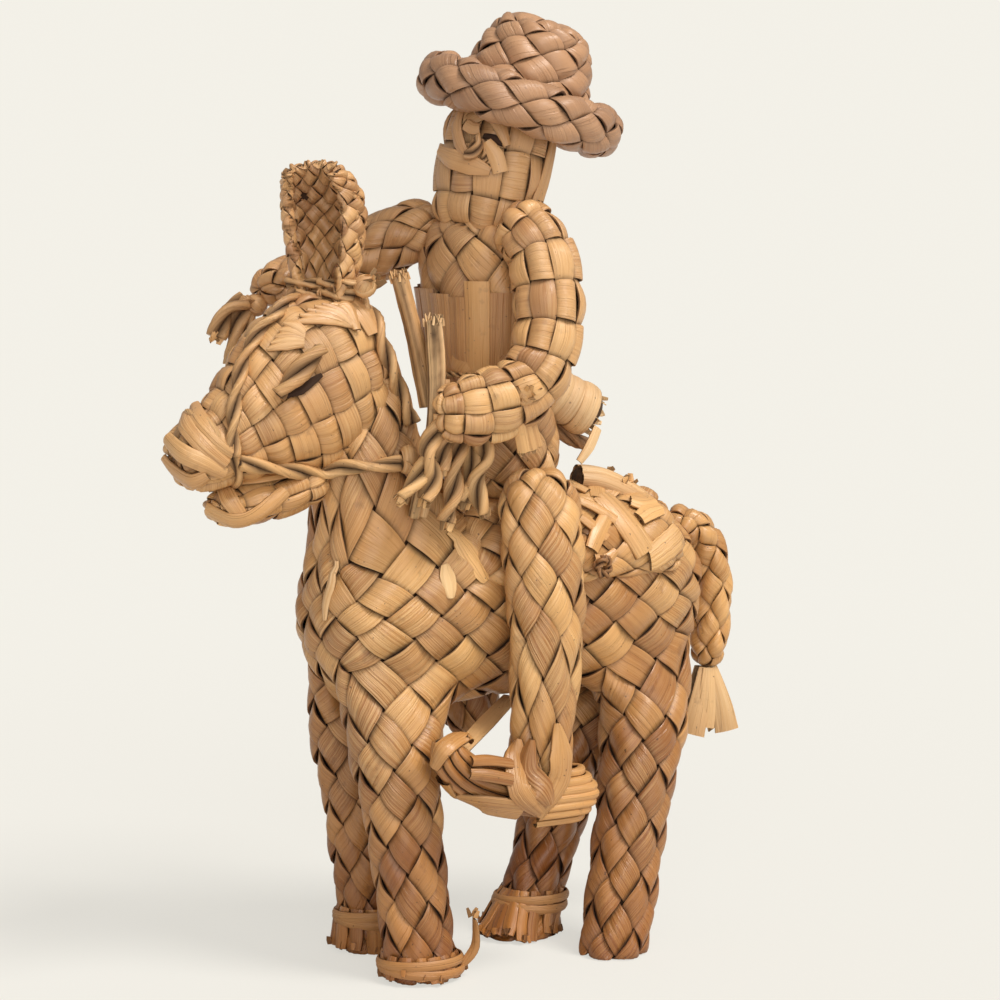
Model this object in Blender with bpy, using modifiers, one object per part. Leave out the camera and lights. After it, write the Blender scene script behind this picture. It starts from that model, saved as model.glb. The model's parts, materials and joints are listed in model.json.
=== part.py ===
"""Horse and rider figure plaited from dried leaf strips, made whole as separate rigid pieces.

Units: metres, +Z up. The horse faces -X and its near side is -Y.
Every plaited member is drawn as a coarse cage, smoothed by subdivision, and covered with a plait in
which each edge of the cage is one crossing of two strips. Pieces are built from the inside outwards,
and each later piece is cut clear of the earlier ones that it is pressed against.
"""

import itertools
import math

import bmesh
import bpy
from mathutils import Vector
from mathutils.bvhtree import BVHTree

MM = 0.001

# Plait
STRIP_CREST = 1.7 * MM
STRIP_DIP = 0.5 * MM
SEAT_GAP = 0.3 * MM
SMOOTHING = 2
ENCLOSING_PASSES = 20
MOST_LIFT = 3 * STRIP_CREST
SHARP_ANGLE = math.radians(65)

# Horse barrel
BODY_CELLS = 7
BODY_AROUND = 12
BODY_FRONT = -55.5 * MM
BODY_LENGTH = 161.5 * MM
BODY_MIDDLE = 145 * MM
BODY_HALF_HEIGHT = 38.5 * MM
BODY_HALF_WIDTH = 30 * MM
BODY_FULLNESS = (0.76, 0.97, 1.0, 0.98, 0.97, 1.0, 0.97, 0.74)
END_BULGE = 9 * MM

# Horse legs
LEG_RINGS = 6
LEG_AROUND = 6
LEG_TOP = BODY_MIDDLE - 1.25 * BODY_HALF_HEIGHT
HOOF_CUT = 9 * MM
LEG_HALF_LENGTH = 13.2 * MM
LEG_HALF_WIDTH = 12.2 * MM
LEG_ROOT = 18 * MM

# Neck
NECK_RISE = 69 * MM
NECK_LEAN = 7 * MM
NECK_ROOT_SIZE = 21 * MM
NECK_TOP_SIZE = 12 * MM
NECK_RINGS = 3
NECK_AROUND = 10

# Cords and loose strips
CORD_RADIUS = 1.7 * MM
STRAND_RADIUS = 2.6 * MM
STEM_RADIUS = 4.1 * MM
LONG_STEM_RADIUS = 4.4 * MM
REIN_RADIUS = 2.0 * MM
CURL_RADIUS = 1.6 * MM
TIE_THICKNESS = 1.8 * MM
STRIP_THICKNESS = 1.0 * MM

# Saddle mat
MAT_THICKNESS = 4.5 * MM
MAT_HUMP = 4.5 * MM
MAT_FRONT = -4 * MM
MAT_LENGTH = 98 * MM
MAT_REACH = math.radians(76)
MAT_CELLS = 4

# Rider
RIDER_TURN = math.radians(25)
HAT_TILT = math.radians(19)
HAT_RADIUS = 33 * MM
HAT_BRIM_HALF_WIDTH = 8.5 * MM
HAT_BRIM_HALF_HEIGHT = 8.5 * MM
HAT_CROWN_HEIGHT = 34 * MM
HAT_CROWN_RADIUS = 20 * MM

SIDEWAYS = Vector((0, -1, 0))
UPWARD = Vector((0, 0, 1))

LEAF = ("leaf", (0.55, 0.30, 0.13, 1), 0.55)
PALE_LEAF = ("pale_leaf", (0.66, 0.44, 0.24, 1), 0.6)
DARK_LEAF = ("dark_leaf", (0.40, 0.20, 0.08, 1), 0.5)
TWIST = ("twisted_cord", (0.60, 0.36, 0.17, 1), 0.65)

GUIDES = {}
SKINS = {}


def mm(x, y, z):
    return Vector((x, y, z)) * MM


# Places that other pieces are measured from

BACK = Vector((0, 0, BODY_MIDDLE + BODY_HALF_HEIGHT))
NECK_ROOT = BACK + Vector((BODY_FRONT + BODY_LENGTH / BODY_CELLS - 3 * MM, 0, 0))
POLL = NECK_ROOT + Vector((-NECK_LEAN, 0, NECK_RISE))
NEAR_SIDE = Vector((0, -BODY_HALF_WIDTH, BODY_MIDDLE))
FAR_SIDE = Vector((0, BODY_HALF_WIDTH, BODY_MIDDLE))
RUMP = Vector((BODY_FRONT + BODY_LENGTH, 0, BODY_MIDDLE))
SEAT = BACK + Vector((20 * MM, 0, MAT_THICKNESS))
HAT = SEAT + mm(11, -2, 155)

LEGS = (
    # name, first block along and across, hoof, root, thickness down the leg, height of the tie
    ("near_front", 0, 0, mm(-26, -25, 0).xy, -36 * MM, (1.38, 1.12, 1.02, 1.0, 0.95, 1.12), 6 * MM),
    ("far_front", 0, 2, mm(-20, 25, 0).xy, -36 * MM, (1.3, 1.05, 0.98, 0.95, 0.78, 1.42), 14 * MM),
    ("near_hind", 5, 0, mm(55, -35, 0).xy, 83 * MM, (1.36, 1.15, 1.05, 1.0, 1.0, 0.9), 0),
    ("far_hind", 5, 2, mm(37, 11, 0).xy, 78 * MM, (1.3, 1.1, 1.0, 0.95, 0.76, 1.5), 14 * MM),
)


def clear_scene():
    """Starts from an empty file."""
    for item in list(bpy.data.objects):
        bpy.data.objects.remove(item)


def new_collection(name):
    collection = bpy.data.collections.new(name)
    bpy.context.scene.collection.children.link(collection)
    return collection


def material(look):
    """The finish of one kind of leaf, made once."""
    name, colour, roughness = look
    if name not in bpy.data.materials:
        made = bpy.data.materials.new(name)
        made.use_nodes = True
        shader = made.node_tree.nodes["Principled BSDF"]
        shader.inputs["Base Color"].default_value = colour
        shader.inputs["Roughness"].default_value = roughness
        shader.inputs["Metallic"].default_value = 0.0
    return bpy.data.materials[name]


def mesh_object(name, shape, collection):
    """An object from a bmesh, which is used up."""
    bmesh.ops.recalc_face_normals(shape, faces=shape.faces)
    mesh = bpy.data.meshes.new(name)
    shape.to_mesh(mesh)
    shape.free()
    made = bpy.data.objects.new(name, mesh)
    collection.objects.link(made)
    return made


def evaluated_shape(source):
    """A bmesh of an object with its modifiers applied."""
    graph = bpy.context.evaluated_depsgraph_get()
    mesh = bpy.data.meshes.new_from_object(source.evaluated_get(graph))
    shape = bmesh.new()
    shape.from_mesh(mesh)
    bpy.data.meshes.remove(mesh)
    return shape


# Cages


def spline_growth(around):
    """How much larger than its smoothed form a closed ring of cage points has to be."""
    return 6 / (4 + 2 * math.cos(2 * math.pi / around))


def block_cage(blocks, place):
    """The outer faces of a set of unit blocks, each corner put in space by place(i, j, k)."""
    cage = bmesh.new()
    corners = {}
    for block in sorted(blocks):
        for axis in range(3):
            for way in (-1, 1):
                step = [0, 0, 0]
                step[axis] = way
                if tuple(a + b for a, b in zip(block, step)) in blocks:
                    continue
                found = []
                for turn in ((0, 0), (1, 0), (1, 1), (0, 1)):
                    corner = list(block)
                    corner[axis] += way > 0
                    corner[(axis + 1) % 3] += turn[0]
                    corner[(axis + 2) % 3] += turn[1]
                    key = tuple(corner)
                    if key not in corners:
                        corners[key] = cage.verts.new(place(*key))
                    found.append(corners[key])
                cage.faces.new(found[::way])
    return cage


def square_to_round(across, up):
    """Moves a point of a square from -1 to 1 onto a disc, so that blocks make a round member."""
    return across * math.sqrt(1 - up * up / 2), up * math.sqrt(1 - across * across / 2)


def frames(centres, side):
    """For each centre of a route, two directions square to the route."""
    found = []
    for index in range(len(centres)):
        along = centres[min(index + 1, len(centres) - 1)] - centres[max(index - 1, 0)]
        along.normalize()
        first = (side - along * side.dot(along)).normalized()
        found.append((first, along.cross(first)))
    return found


def loft(rings):
    """A closed solid through rings of points."""
    solid = bmesh.new()
    made = [[solid.verts.new(point) for point in ring] for ring in rings]
    for lower, upper in zip(made, made[1:]):
        for step in range(len(lower)):
            after = (step + 1) % len(lower)
            solid.faces.new((lower[step], lower[after], upper[after], upper[step]))
    solid.faces.new(made[0][::-1])
    solid.faces.new(made[-1])
    return solid


def closed_loft(rings):
    """A closed ring-shaped solid through rings of points."""
    solid = bmesh.new()
    made = [[solid.verts.new(point) for point in ring] for ring in rings]
    for index, here in enumerate(made):
        there = made[(index + 1) % len(made)]
        for corner in range(len(here)):
            after = (corner + 1) % len(here)
            solid.faces.new((here[corner], there[corner], there[after], here[after]))
    return solid


def limb_cage(anchor, stations, around, side=SIDEWAYS, growth=None, ridge=0.0):
    """A closed tube through stations, in millimetres from anchor: x, y, z, half size along side and across.

    A ridge above zero draws every other point in, for a bundle of strips that lie side by side.
    """
    growth = spline_growth(around) if growth is None else growth
    centres = [anchor + mm(x, y, z) for x, y, z, _, _ in stations]
    rings = []
    for centre, (first, second), station in zip(centres, frames(centres, side), stations):
        ring = []
        for step in range(around):
            angle = 2 * math.pi * step / around
            reach = growth * MM * (1 - ridge * (step % 2))
            along_side = math.cos(angle) * station[3] * reach
            across_side = math.sin(angle) * station[4] * reach
            ring.append(centre + first * along_side + second * across_side)
        rings.append(ring)
    return loft(rings)


def ring_cage(centre, axis, radius, half_radial, half_axial, steps, around):
    """A closed ring of thick section about an axis."""
    growth = spline_growth(around)
    front = axis.orthogonal().normalized()
    right = axis.cross(front)
    rings = []
    for step in range(steps):
        angle = 2 * math.pi * step / steps
        outward = front * math.cos(angle) + right * math.sin(angle)
        ring = []
        for corner in range(around):
            turn = 2 * math.pi * (corner + 0.5) / around
            reach = radius * spline_growth(steps) + half_radial * growth * math.cos(turn)
            height = half_axial * growth * math.sin(turn)
            ring.append(centre + outward * reach + axis * height)
        rings.append(ring)
    return closed_loft(rings)


def sheet_cage(rows, half_thickness):
    """A leaf-like sheet: its two sides share the points of its rim."""
    cage = bmesh.new()
    last_row, last_column = len(rows) - 1, len(rows[0]) - 1
    front, back = {}, {}
    for r, row in enumerate(rows):
        for c, point in enumerate(row):
            down = rows[min(r + 1, last_row)][c] - rows[max(r - 1, 0)][c]
            across = row[min(c + 1, last_column)] - row[max(c - 1, 0)]
            normal = across.cross(down).normalized() * half_thickness
            if r in (0, last_row) or c in (0, last_column):
                front[r, c] = back[r, c] = cage.verts.new(point)
            else:
                front[r, c] = cage.verts.new(point + normal)
                back[r, c] = cage.verts.new(point - normal)
    for r in range(last_row):
        for c in range(last_column):
            corners = ((r, c), (r, c + 1), (r + 1, c + 1), (r + 1, c))
            cage.faces.new([front[key] for key in corners])
            cage.faces.new([back[key] for key in reversed(corners)])
    return cage


# Plait


def smooth_surface(cage):
    """The cage smoothed by subdivision, as a surface to lay strips on."""
    mesh = bpy.data.meshes.new("cage")
    cage.to_mesh(mesh)
    holder = bpy.data.objects.new("cage", mesh)
    bpy.context.scene.collection.objects.link(holder)
    subdivision = holder.modifiers.new("smooth", "SUBSURF")
    subdivision.levels = SMOOTHING
    subdivision.render_levels = SMOOTHING
    smoothed = evaluated_shape(holder)
    surface = BVHTree.FromBMesh(smoothed)
    smoothed.free()
    bpy.data.objects.remove(holder)
    return surface


def plait_shape(cage, surface, valley, crest, covered):
    """A mesh over the cage: corners and face middles stand at valley, strip middles at crest.

    Each edge of the cage is one crossing. The strip on top runs from the side between the edge's
    start and the left face to the side across from it, and its two free edges stand proud. Where
    another piece lies on the plait, the crossing is left flat.
    """
    shape = bmesh.new()
    made = {}

    def point(key, near, height):
        if key not in made:
            place, normal, _, _ = surface.find_nearest(near)
            made[key] = shape.verts.new(place + normal * height)
        return made[key]

    def halfway(vertex, face):
        near = (vertex.co + face.calc_center_median()) / 2
        return point((vertex.index, face.index), near, crest)

    for start, end, left, right in crossings(cage):
        bottom, top = [point(("corner", item.index), item.co, valley) for item in (start, end)]
        west, east = [
            point(("middle", item.index), item.calc_center_median(), valley) for item in (left, right)
        ]
        if covered and covered(*surface.find_nearest((start.co + end.co) / 2)[:2]):
            shape.faces.new((bottom, east, top, west))
            continue
        lower, upper = halfway(start, right), halfway(end, left)
        shape.faces.new((bottom, lower, upper, west))
        shape.faces.new((lower, east, top, upper))
        shape.faces.new((bottom, east, lower))
        shape.faces.new((top, west, upper))
    return shape


def crossings(cage):
    """The two corners and two faces round each edge of a cage, with the first face on its left."""
    cage.verts.index_update()
    cage.faces.index_update()
    for edge in cage.edges:
        loop = edge.link_loops[0]
        yield loop.vert, loop.link_loop_next.vert, loop.face, loop.link_loop_radial_next.face


def enclosing_shape(cage, surface, plait):
    """The cage drawn in onto the surface, then let out until every strip is inside it by the gap."""
    shape = cage.copy()
    feet = {vertex: surface.find_nearest(vertex.co)[:2] for vertex in shape.verts}
    lifts = dict.fromkeys(feet, 0.0)
    for vertex, (foot, _) in feet.items():
        vertex.co = foot
    bmesh.ops.triangulate(shape, faces=shape.faces)
    shape.faces.ensure_lookup_table()
    places = [vertex.co for vertex in plait.verts]
    places += [(edge.verts[0].co + edge.verts[1].co) / 2 for edge in plait.edges]
    for _ in range(ENCLOSING_PASSES):
        tree = BVHTree.FromBMesh(shape)
        missing = dict.fromkeys(feet, 0.0)
        for place in places:
            foot, normal, index, _ = tree.find_nearest(place)
            short = SEAT_GAP + (place - foot).dot(normal)
            for vertex in shape.faces[index].verts:
                missing[vertex] = max(missing[vertex], short)
        for vertex, (foot, normal) in feet.items():
            lifts[vertex] = min(lifts[vertex] + missing[vertex], MOST_LIFT)
            vertex.co = foot + normal * lifts[vertex]
    return shape


def grown(shape, gap=1.2 * SEAT_GAP):
    """A copy of a shape with every side moved out by about the gap."""
    copy = shape.copy()
    bmesh.ops.recalc_face_normals(copy, faces=copy.faces)
    copy.normal_update()
    moves = [(vertex, vertex.normal * gap) for vertex in copy.verts]
    for vertex, move in moves:
        vertex.co += move
    return copy


# Fitting


def bounds(item):
    corners = [item.matrix_world @ Vector(corner) for corner in item.bound_box]
    low = [min(corner[n] for corner in corners) for n in range(3)]
    high = [max(corner[n] for corner in corners) for n in range(3)]
    return low, high


def fit_to_neighbours(piece, rests_on):
    """Cuts a piece clear of every earlier one that it is pressed against.

    The plaits' steps stand upright over one another, which only the manifold solver resolves.
    """
    bpy.context.view_layer.update()
    low, high = bounds(piece)
    for name, guide in GUIDES.items():
        guide_low, guide_high = bounds(guide)
        apart = any(low[n] > guide_high[n] or high[n] < guide_low[n] for n in range(3))
        if apart or name in rests_on:
            continue
        cut = piece.modifiers.new("seat on " + name, "BOOLEAN")
        cut.operation = "DIFFERENCE"
        cut.solver = "MANIFOLD"
        cut.object = guide
    keep_largest_body(piece)


def bodies(shape):
    """The separate bodies of a mesh, each as a list of faces."""
    waiting = set(shape.faces)
    found = []
    while waiting:
        front = [waiting.pop()]
        body = []
        while front:
            face = front.pop()
            body.append(face)
            for edge in face.edges:
                for other in edge.link_faces:
                    if other in waiting:
                        waiting.remove(other)
                        front.append(other)
        found.append(body)
    return found


def keep_largest_body(piece):
    """Applies the cuts and drops the crumbs that they leave."""
    shape = evaluated_shape(piece)
    found = sorted(bodies(shape), key=lambda body: sum(face.calc_area() for face in body))
    crumbs = [face for body in found[:-1] for face in body]
    bmesh.ops.delete(shape, geom=crumbs, context="FACES")
    piece.modifiers.clear()
    shape.to_mesh(piece.data)
    shape.free()


def trim_at_floor(piece):
    """Cuts the hooves flat at the height of the ground."""
    shape = bmesh.new()
    shape.from_mesh(piece.data)
    everything = list(shape.verts) + list(shape.edges) + list(shape.faces)
    cut = bmesh.ops.bisect_plane(
        shape, geom=everything, plane_co=(0, 0, 0), plane_no=(0, 0, -1), clear_outer=True
    )
    rim = [item for item in cut["geom_cut"] if isinstance(item, bmesh.types.BMEdge)]
    bmesh.ops.holes_fill(shape, edges=rim)
    shape.to_mesh(piece.data)
    shape.free()


def add_piece(name, look, shape, guide_shape=None, on_floor=False, rests_on=(), rounded=False):
    """Places one piece, and the slightly larger form that later pieces are cut by.

    It is laid on what it rests on, with its own gap, so that is left out of the cuts.
    """
    bmesh.ops.recalc_face_normals(shape, faces=shape.faces)
    if name not in SKINS:
        SKINS[name] = BVHTree.FromBMesh(shape), 0.0
    guide = mesh_object("guide_" + name, guide_shape or grown(shape), GUIDE_COLLECTION)
    guide.hide_render = True
    guide.display_type = "WIRE"
    piece = mesh_object(name, shape, FIGURE)
    piece.data.materials.append(material(look))
    if on_floor:
        trim_at_floor(piece)
    fit_to_neighbours(piece, rests_on)
    if rounded:
        piece.data.shade_smooth()
        piece.data.set_sharp_from_angle(angle=SHARP_ANGLE)
    GUIDES[name] = guide
    return piece


def add_plaited(name, look, cage, crest=STRIP_CREST, on_floor=False, covered=None):
    bmesh.ops.recalc_face_normals(cage, faces=cage.faces)
    surface = smooth_surface(cage)
    shape = plait_shape(cage, surface, -STRIP_DIP, crest, covered)
    SKINS[name] = surface, crest
    enclosing = enclosing_shape(cage, surface, shape)
    cage.free()
    return add_piece(name, look, shape, enclosing, on_floor=on_floor)


def joined(shapes):
    """One body from shapes that overlap."""
    holders = [mesh_object("part", shape, GUIDE_COLLECTION) for shape in shapes]
    first = holders[0]
    for other in holders[1:]:
        union = first.modifiers.new("join", "BOOLEAN")
        union.operation = "UNION"
        union.solver = "MANIFOLD"
        union.object = other
    bpy.context.view_layer.update()
    shape = evaluated_shape(first)
    for holder in holders:
        bpy.data.objects.remove(holder)
    return shape


# Cords and strips


def smooth_route(points, pieces=4):
    """A route through hand-chosen points, rounded between them."""
    route = []
    for index in range(len(points) - 1):
        before = points[max(index - 1, 0)]
        start, end = points[index], points[index + 1]
        after = points[min(index + 2, len(points) - 1)]
        for step in range(pieces):
            t = step / pieces
            bend = (2 * before - 5 * start + 4 * end - after) * t * t
            turn = (3 * start - before - 3 * end + after) * t * t * t
            route.append((2 * start + (end - before) * t + bend + turn) / 2)
    route.append(points[-1])
    return route


def tube(route, radius, resolution=2):
    """A round cord along a route."""
    curve = bpy.data.curves.new("cord", "CURVE")
    curve.dimensions = "3D"
    curve.bevel_depth = radius
    curve.bevel_resolution = resolution
    curve.use_fill_caps = True
    spline = curve.splines.new("POLY")
    spline.points.add(len(route) - 1)
    for point, place in zip(spline.points, route):
        point.co = (*place, 1)
    holder = bpy.data.objects.new("cord", curve)
    GUIDE_COLLECTION.objects.link(holder)
    shape = evaluated_shape(holder)
    bpy.data.objects.remove(holder)
    bmesh.ops.remove_doubles(shape, verts=shape.verts, dist=1e-6)
    return shape


def laid(points, carriers, clearance=0.0, pieces=3):
    """A route drawn just outside its carriers, moved onto them: places and outward directions."""
    route = []
    for place in smooth_route(points, pieces):
        nearest = math.inf
        for name in carriers:
            surface, height = SKINS[name]
            foot, normal, _, _ = surface.find_nearest(place)
            above = (place - foot).dot(normal) - height
            if above < nearest:
                nearest = above
                found = foot + normal * (height + SEAT_GAP + clearance), normal
        route.append(found)
    return route


def laid_cord(points, carriers, radius):
    return tube([place for place, _ in laid(points, carriers, radius, 2)], radius, 1)


def strip(spots, width, thickness=STRIP_THICKNESS):
    """A flat strip through places, each with the direction that the strip faces there."""
    rings = []
    centres = [place for place, _ in spots]
    for index, (centre, facing) in enumerate(spots):
        along = centres[min(index + 1, len(centres) - 1)] - centres[max(index - 1, 0)]
        across = along.cross(facing).normalized() * width / 2
        lift = facing.normalized() * thickness
        rings.append([centre - across, centre + across, centre + across + lift, centre - across + lift])
    return loft(rings)


def loop_round(centre, axis, carriers, reach, width, thickness, steps=12, least=0.0, ridge=0.0):
    """A flat tie round its carriers in a plane, nowhere nearer to the centre than least.

    A ridge above zero makes every other point of the outside thinner, as strips side by side.
    """
    front = axis.orthogonal().normalized()
    right = axis.cross(front).normalized()

    def direction(step):
        angle = 2 * math.pi * step / steps
        return front * math.cos(angle) + right * math.sin(angle)

    rings = []
    for step in range(steps):
        found = [least]
        for turn, rise, name in itertools.product((-0.5, -0.25, 0, 0.25, 0.5), (-0.5, 0.5), carriers):
            surface, height = SKINS[name]
            outward = direction(step + turn)
            start = centre + outward * reach + axis * width * rise
            hit = surface.ray_cast(start, -outward, reach)[0]
            if hit is not None:
                found.append((hit - centre).dot(outward) + height)
        outward = direction(step)
        inner = (max(found) + SEAT_GAP) / math.cos(math.pi / steps)
        outer = 1 - ridge * (step % 2)
        ring = []
        for out, rise in ((0, -0.5), (outer, -0.5), (outer, 0.5), (0, 0.5)):
            ring.append(centre + outward * (inner + out * thickness) + axis * width * rise)
        rings.append(ring)
    return closed_loft(rings)


def knot(centre, radius):
    shape = bmesh.new()
    bmesh.ops.create_icosphere(shape, subdivisions=1, radius=radius)
    bmesh.ops.translate(shape, verts=shape.verts, vec=centre)
    return shape


# Horse


def horse_body_place(i, j, k):
    """Where a corner of the blocks lies: in the barrel, in a leg below it or in the neck above it."""
    if k < 0:
        return leg_place(i, j, k)
    if k > 3:
        return neck_place(i, j, k)
    across, up = square_to_round((j - 1.5) / 1.5, (k - 1.5) / 1.5)
    fullness = BODY_FULLNESS[i] * spline_growth(BODY_AROUND)
    x = BODY_FRONT + BODY_LENGTH * i / BODY_CELLS
    if 0 < j < 3 and 0 < k < 3:
        x += {0: -END_BULGE, BODY_CELLS: END_BULGE}[i]
    y = across * BODY_HALF_WIDTH * fullness
    return Vector((x, y, BODY_MIDDLE + up * BODY_HALF_HEIGHT * fullness))


def leg_place(i, j, k):
    matching = [leg for leg in LEGS if leg[1] <= i <= leg[1] + 2 and leg[2] <= j <= leg[2] + 1]
    _, first, side, hoof, root, thickness, _ = matching[0]
    down = -k - 1
    drop = down / (LEG_RINGS - 1)
    x, y = Vector((root, LEG_ROOT if side else -LEG_ROOT)).lerp(hoof, drop)
    z = LEG_TOP - (LEG_TOP + HOOF_CUT) * drop
    size = thickness[down] * spline_growth(LEG_AROUND)
    column, row = i - first - 1, 2 * (j - side) - 1
    x += math.sin(math.pi / 3) * column * LEG_HALF_LENGTH * size
    y += row * (0.5 if column else 1.0) * LEG_HALF_WIDTH * size
    return Vector((x, y, z))


def neck_place(i, j, k):
    rise = (k - 3) / NECK_RINGS
    centre = NECK_ROOT.lerp(POLL, rise)
    size = NECK_ROOT_SIZE + (NECK_TOP_SIZE - NECK_ROOT_SIZE) * (k - 4) / (NECK_RINGS - 1)
    along, across = square_to_round(i - 1, (j - 1.5) / 1.5)
    return centre + Vector((along, across, 0)) * size * spline_growth(NECK_AROUND)


def horse_body():
    """Neck, barrel and legs, plaited in one."""
    blocks = {(i, j, k) for i in range(BODY_CELLS) for j in range(3) for k in range(3)}
    for _, first, side, _, _, _, _ in LEGS:
        blocks |= {(first + n, side, -1 - k) for n in range(2) for k in range(LEG_RINGS)}
    blocks |= {(i, j, 3 + k) for i in range(2) for j in range(3) for k in range(NECK_RINGS)}
    cage = block_cage(blocks, horse_body_place)
    add_plaited("horse_body", LEAF, cage, on_floor=True, covered=under_mat_or_head)


def under_mat_or_head(place, normal):
    """Where the mat or the head hides the plait of the body."""
    along = (place.x - MAT_FRONT) / MAT_LENGTH
    up = (place.z - BODY_MIDDLE) / BODY_HALF_HEIGHT
    return place.z > POLL.z - 20 * MM or 0.05 < along < 0.9 and up > 0.6


def horse_head():
    """Cheeks, forehead and muzzle: the neck ends inside the cheeks."""
    stations = (
        (8, 0, -8, 14, 22),
        (-6, 0, -12, 20, 31),
        (-24, 0, -20, 21, 34),
        (-42, 0, -30, 18, 25),
        (-59, 0, -39, 14, 15),
        (-76, 0, -46, 12, 12),
    )
    add_plaited("horse_head", LEAF, limb_cage(POLL, stations, 8))


def lower_jaw():
    stations = (
        (-17, 0, -53, 12, 8),
        (-40, 0, -60, 13, 8.5),
        (-63, 0, -64, 8, 5),
    )
    add_plaited("lower_jaw", LEAF, limb_cage(POLL, stations, 6))


def near_ear():
    """A plaited cup, open to the front, with its rim curled over at the top."""
    opening = Vector((-0.88, -0.48, 0))
    across = opening.cross(UPWARD)
    rows = []
    profile = ((9, 8, 230, 0), (27, 14, 230, 1), (44, 18, 230, 1), (61, 17, 215, -2), (71, 10, 190, -9))
    for height, radius, span, lean in profile:
        row = []
        for step in range(5):
            angle = math.radians(span) * (step / 4 - 0.5)
            outward = across * math.sin(angle) - opening * math.cos(angle)
            row.append(POLL + mm(-17, -3, height) + (outward * radius - opening * lean) * MM)
        rows.append(row)
    add_plaited("near_ear", LEAF, sheet_cage(rows, 2.6 * MM), crest=1.3 * MM)


def tail():
    """A braid that hangs from the rump, tied above its loose ends."""
    stations = (
        (-3, 0, 23, 7, 6.5),
        (9, 0, 24.5, 8, 7),
        (19, 0, 15, 8.5, 7),
        (22.5, 0, -2, 8, 6.5),
        (21.5, 0, -21, 7.5, 6.5),
        (19, 0, -37.5, 6, 6),
    )
    add_plaited("tail_braid", LEAF, limb_cage(RUMP, stations, 4))
    tie = loop_round(RUMP + mm(19, 0, -38), UPWARD, ["tail_braid"], 14 * MM, 3.5 * MM, TIE_THICKNESS)
    add_piece("tail_tie", PALE_LEAF, tie, rests_on=["tail_braid"])
    ends = (
        (19, 0, -40.3, 6.5, 5.5),
        (19, 0, -49, 8, 6),
        (20, 0, -66, 12, 6.5),
    )
    add_piece("tail_fringe", PALE_LEAF, limb_cage(RUMP, ends, 10, growth=1, ridge=0.3))


# Saddle


def saddle_mat():
    """Crossed strips laid over the back, thicker behind the rider."""

    def place(i, j, k):
        along = i / MAT_CELLS
        angle = MAT_REACH * (j / 3 - 1)
        hump = MAT_HUMP * math.sin(math.pi * min(1, along * 1.15)) ** 2 * math.cos(angle)
        rise = MAT_THICKNESS + hump if k else -4 * MM
        x = MAT_FRONT + MAT_LENGTH * along
        y = (BODY_HALF_WIDTH + rise) * math.sin(angle)
        z = (BODY_HALF_HEIGHT + rise) * math.cos(angle)
        return Vector((x, y, BODY_MIDDLE + z))

    blocks = {(i, j, 0) for i in range(MAT_CELLS) for j in range(6)}
    add_plaited("saddle_mat", LEAF, block_cage(blocks, place), covered=out_of_sight)


def out_of_sight(place, normal):
    """The underside and the rim of the mat, and its top under the rider."""
    outward = Vector((0, place.y, place.z - BODY_MIDDLE)).normalized()
    return normal.dot(outward) < 0.6 or abs(place.x - SEAT.x) < 16 * MM


def saddle_trim():
    """The rolled edge, the folded strips and the knot on the mat."""
    roll = (
        (38, -3, 8, 5, 5),
        (48, -4, 6, 6, 5.5),
        (60, -6, 0, 6, 5.5),
        (69, -8, -6, 4.5, 4.5),
    )
    add_piece("saddle_roll", PALE_LEAF, limb_cage(BACK + mm(20, 0, 0), roll, 10, growth=1, ridge=0.12))
    under = ["saddle_mat"]
    folded = [mm(62, -22, 194), mm(67, -32, 180), mm(73, -40, 166)]
    add_piece("saddle_strap", LEAF, strip(laid(folded, under), 10 * MM), rests_on=under)
    turned = [mm(74, -40, 162), mm(84, -36, 167), mm(94, -30, 171)]
    add_piece("saddle_fold", LEAF, strip(laid(turned, under), 9 * MM), rests_on=under)
    place, _ = laid([mm(50, -40, 160), mm(50, -40, 159)], under, 3.5 * MM)[0]
    add_piece("saddle_knot", DARK_LEAF, knot(place, 4.5 * MM), rounded=True)


# Rider


def rider_side():
    """The direction from the rider's middle to the near shoulder."""
    return Vector((math.sin(RIDER_TURN), -math.cos(RIDER_TURN), 0))


def rider_torso():
    stations = (
        (4, 0, -2, 22, 19),
        (2, 0, 18, 25, 20),
        (-1, 0, 42, 25, 19),
        (-4, 0, 68, 26, 19),
        (-6, 0, 96, 26, 18),
        (-7, 0, 114, 17, 14),
    )

    def covered(place, normal):
        rise = place.z - SEAT.z
        return rise < 4 * MM or 40 * MM < rise < 86 * MM or rise > 108 * MM

    add_plaited("rider_torso", LEAF, limb_cage(SEAT, stations, 8, side=rider_side()), covered=covered)


def waist_band():
    """A sleeve of upright strips round the waist, tied below."""
    middle = SEAT + mm(-2, 0, 63)
    sleeve = loop_round(middle, UPWARD, ["rider_torso"], 45 * MM, 38 * MM, 4 * MM, 20, ridge=0.5)
    add_piece("waist_band", PALE_LEAF, sleeve, rests_on=["rider_torso"])
    tie = loop_round(SEAT + mm(-2, 0, 49), UPWARD, ["waist_band"], 45 * MM, 3 * MM, TIE_THICKNESS, 10)
    add_piece("waist_tie", TWIST, tie, rests_on=["waist_band"])


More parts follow.
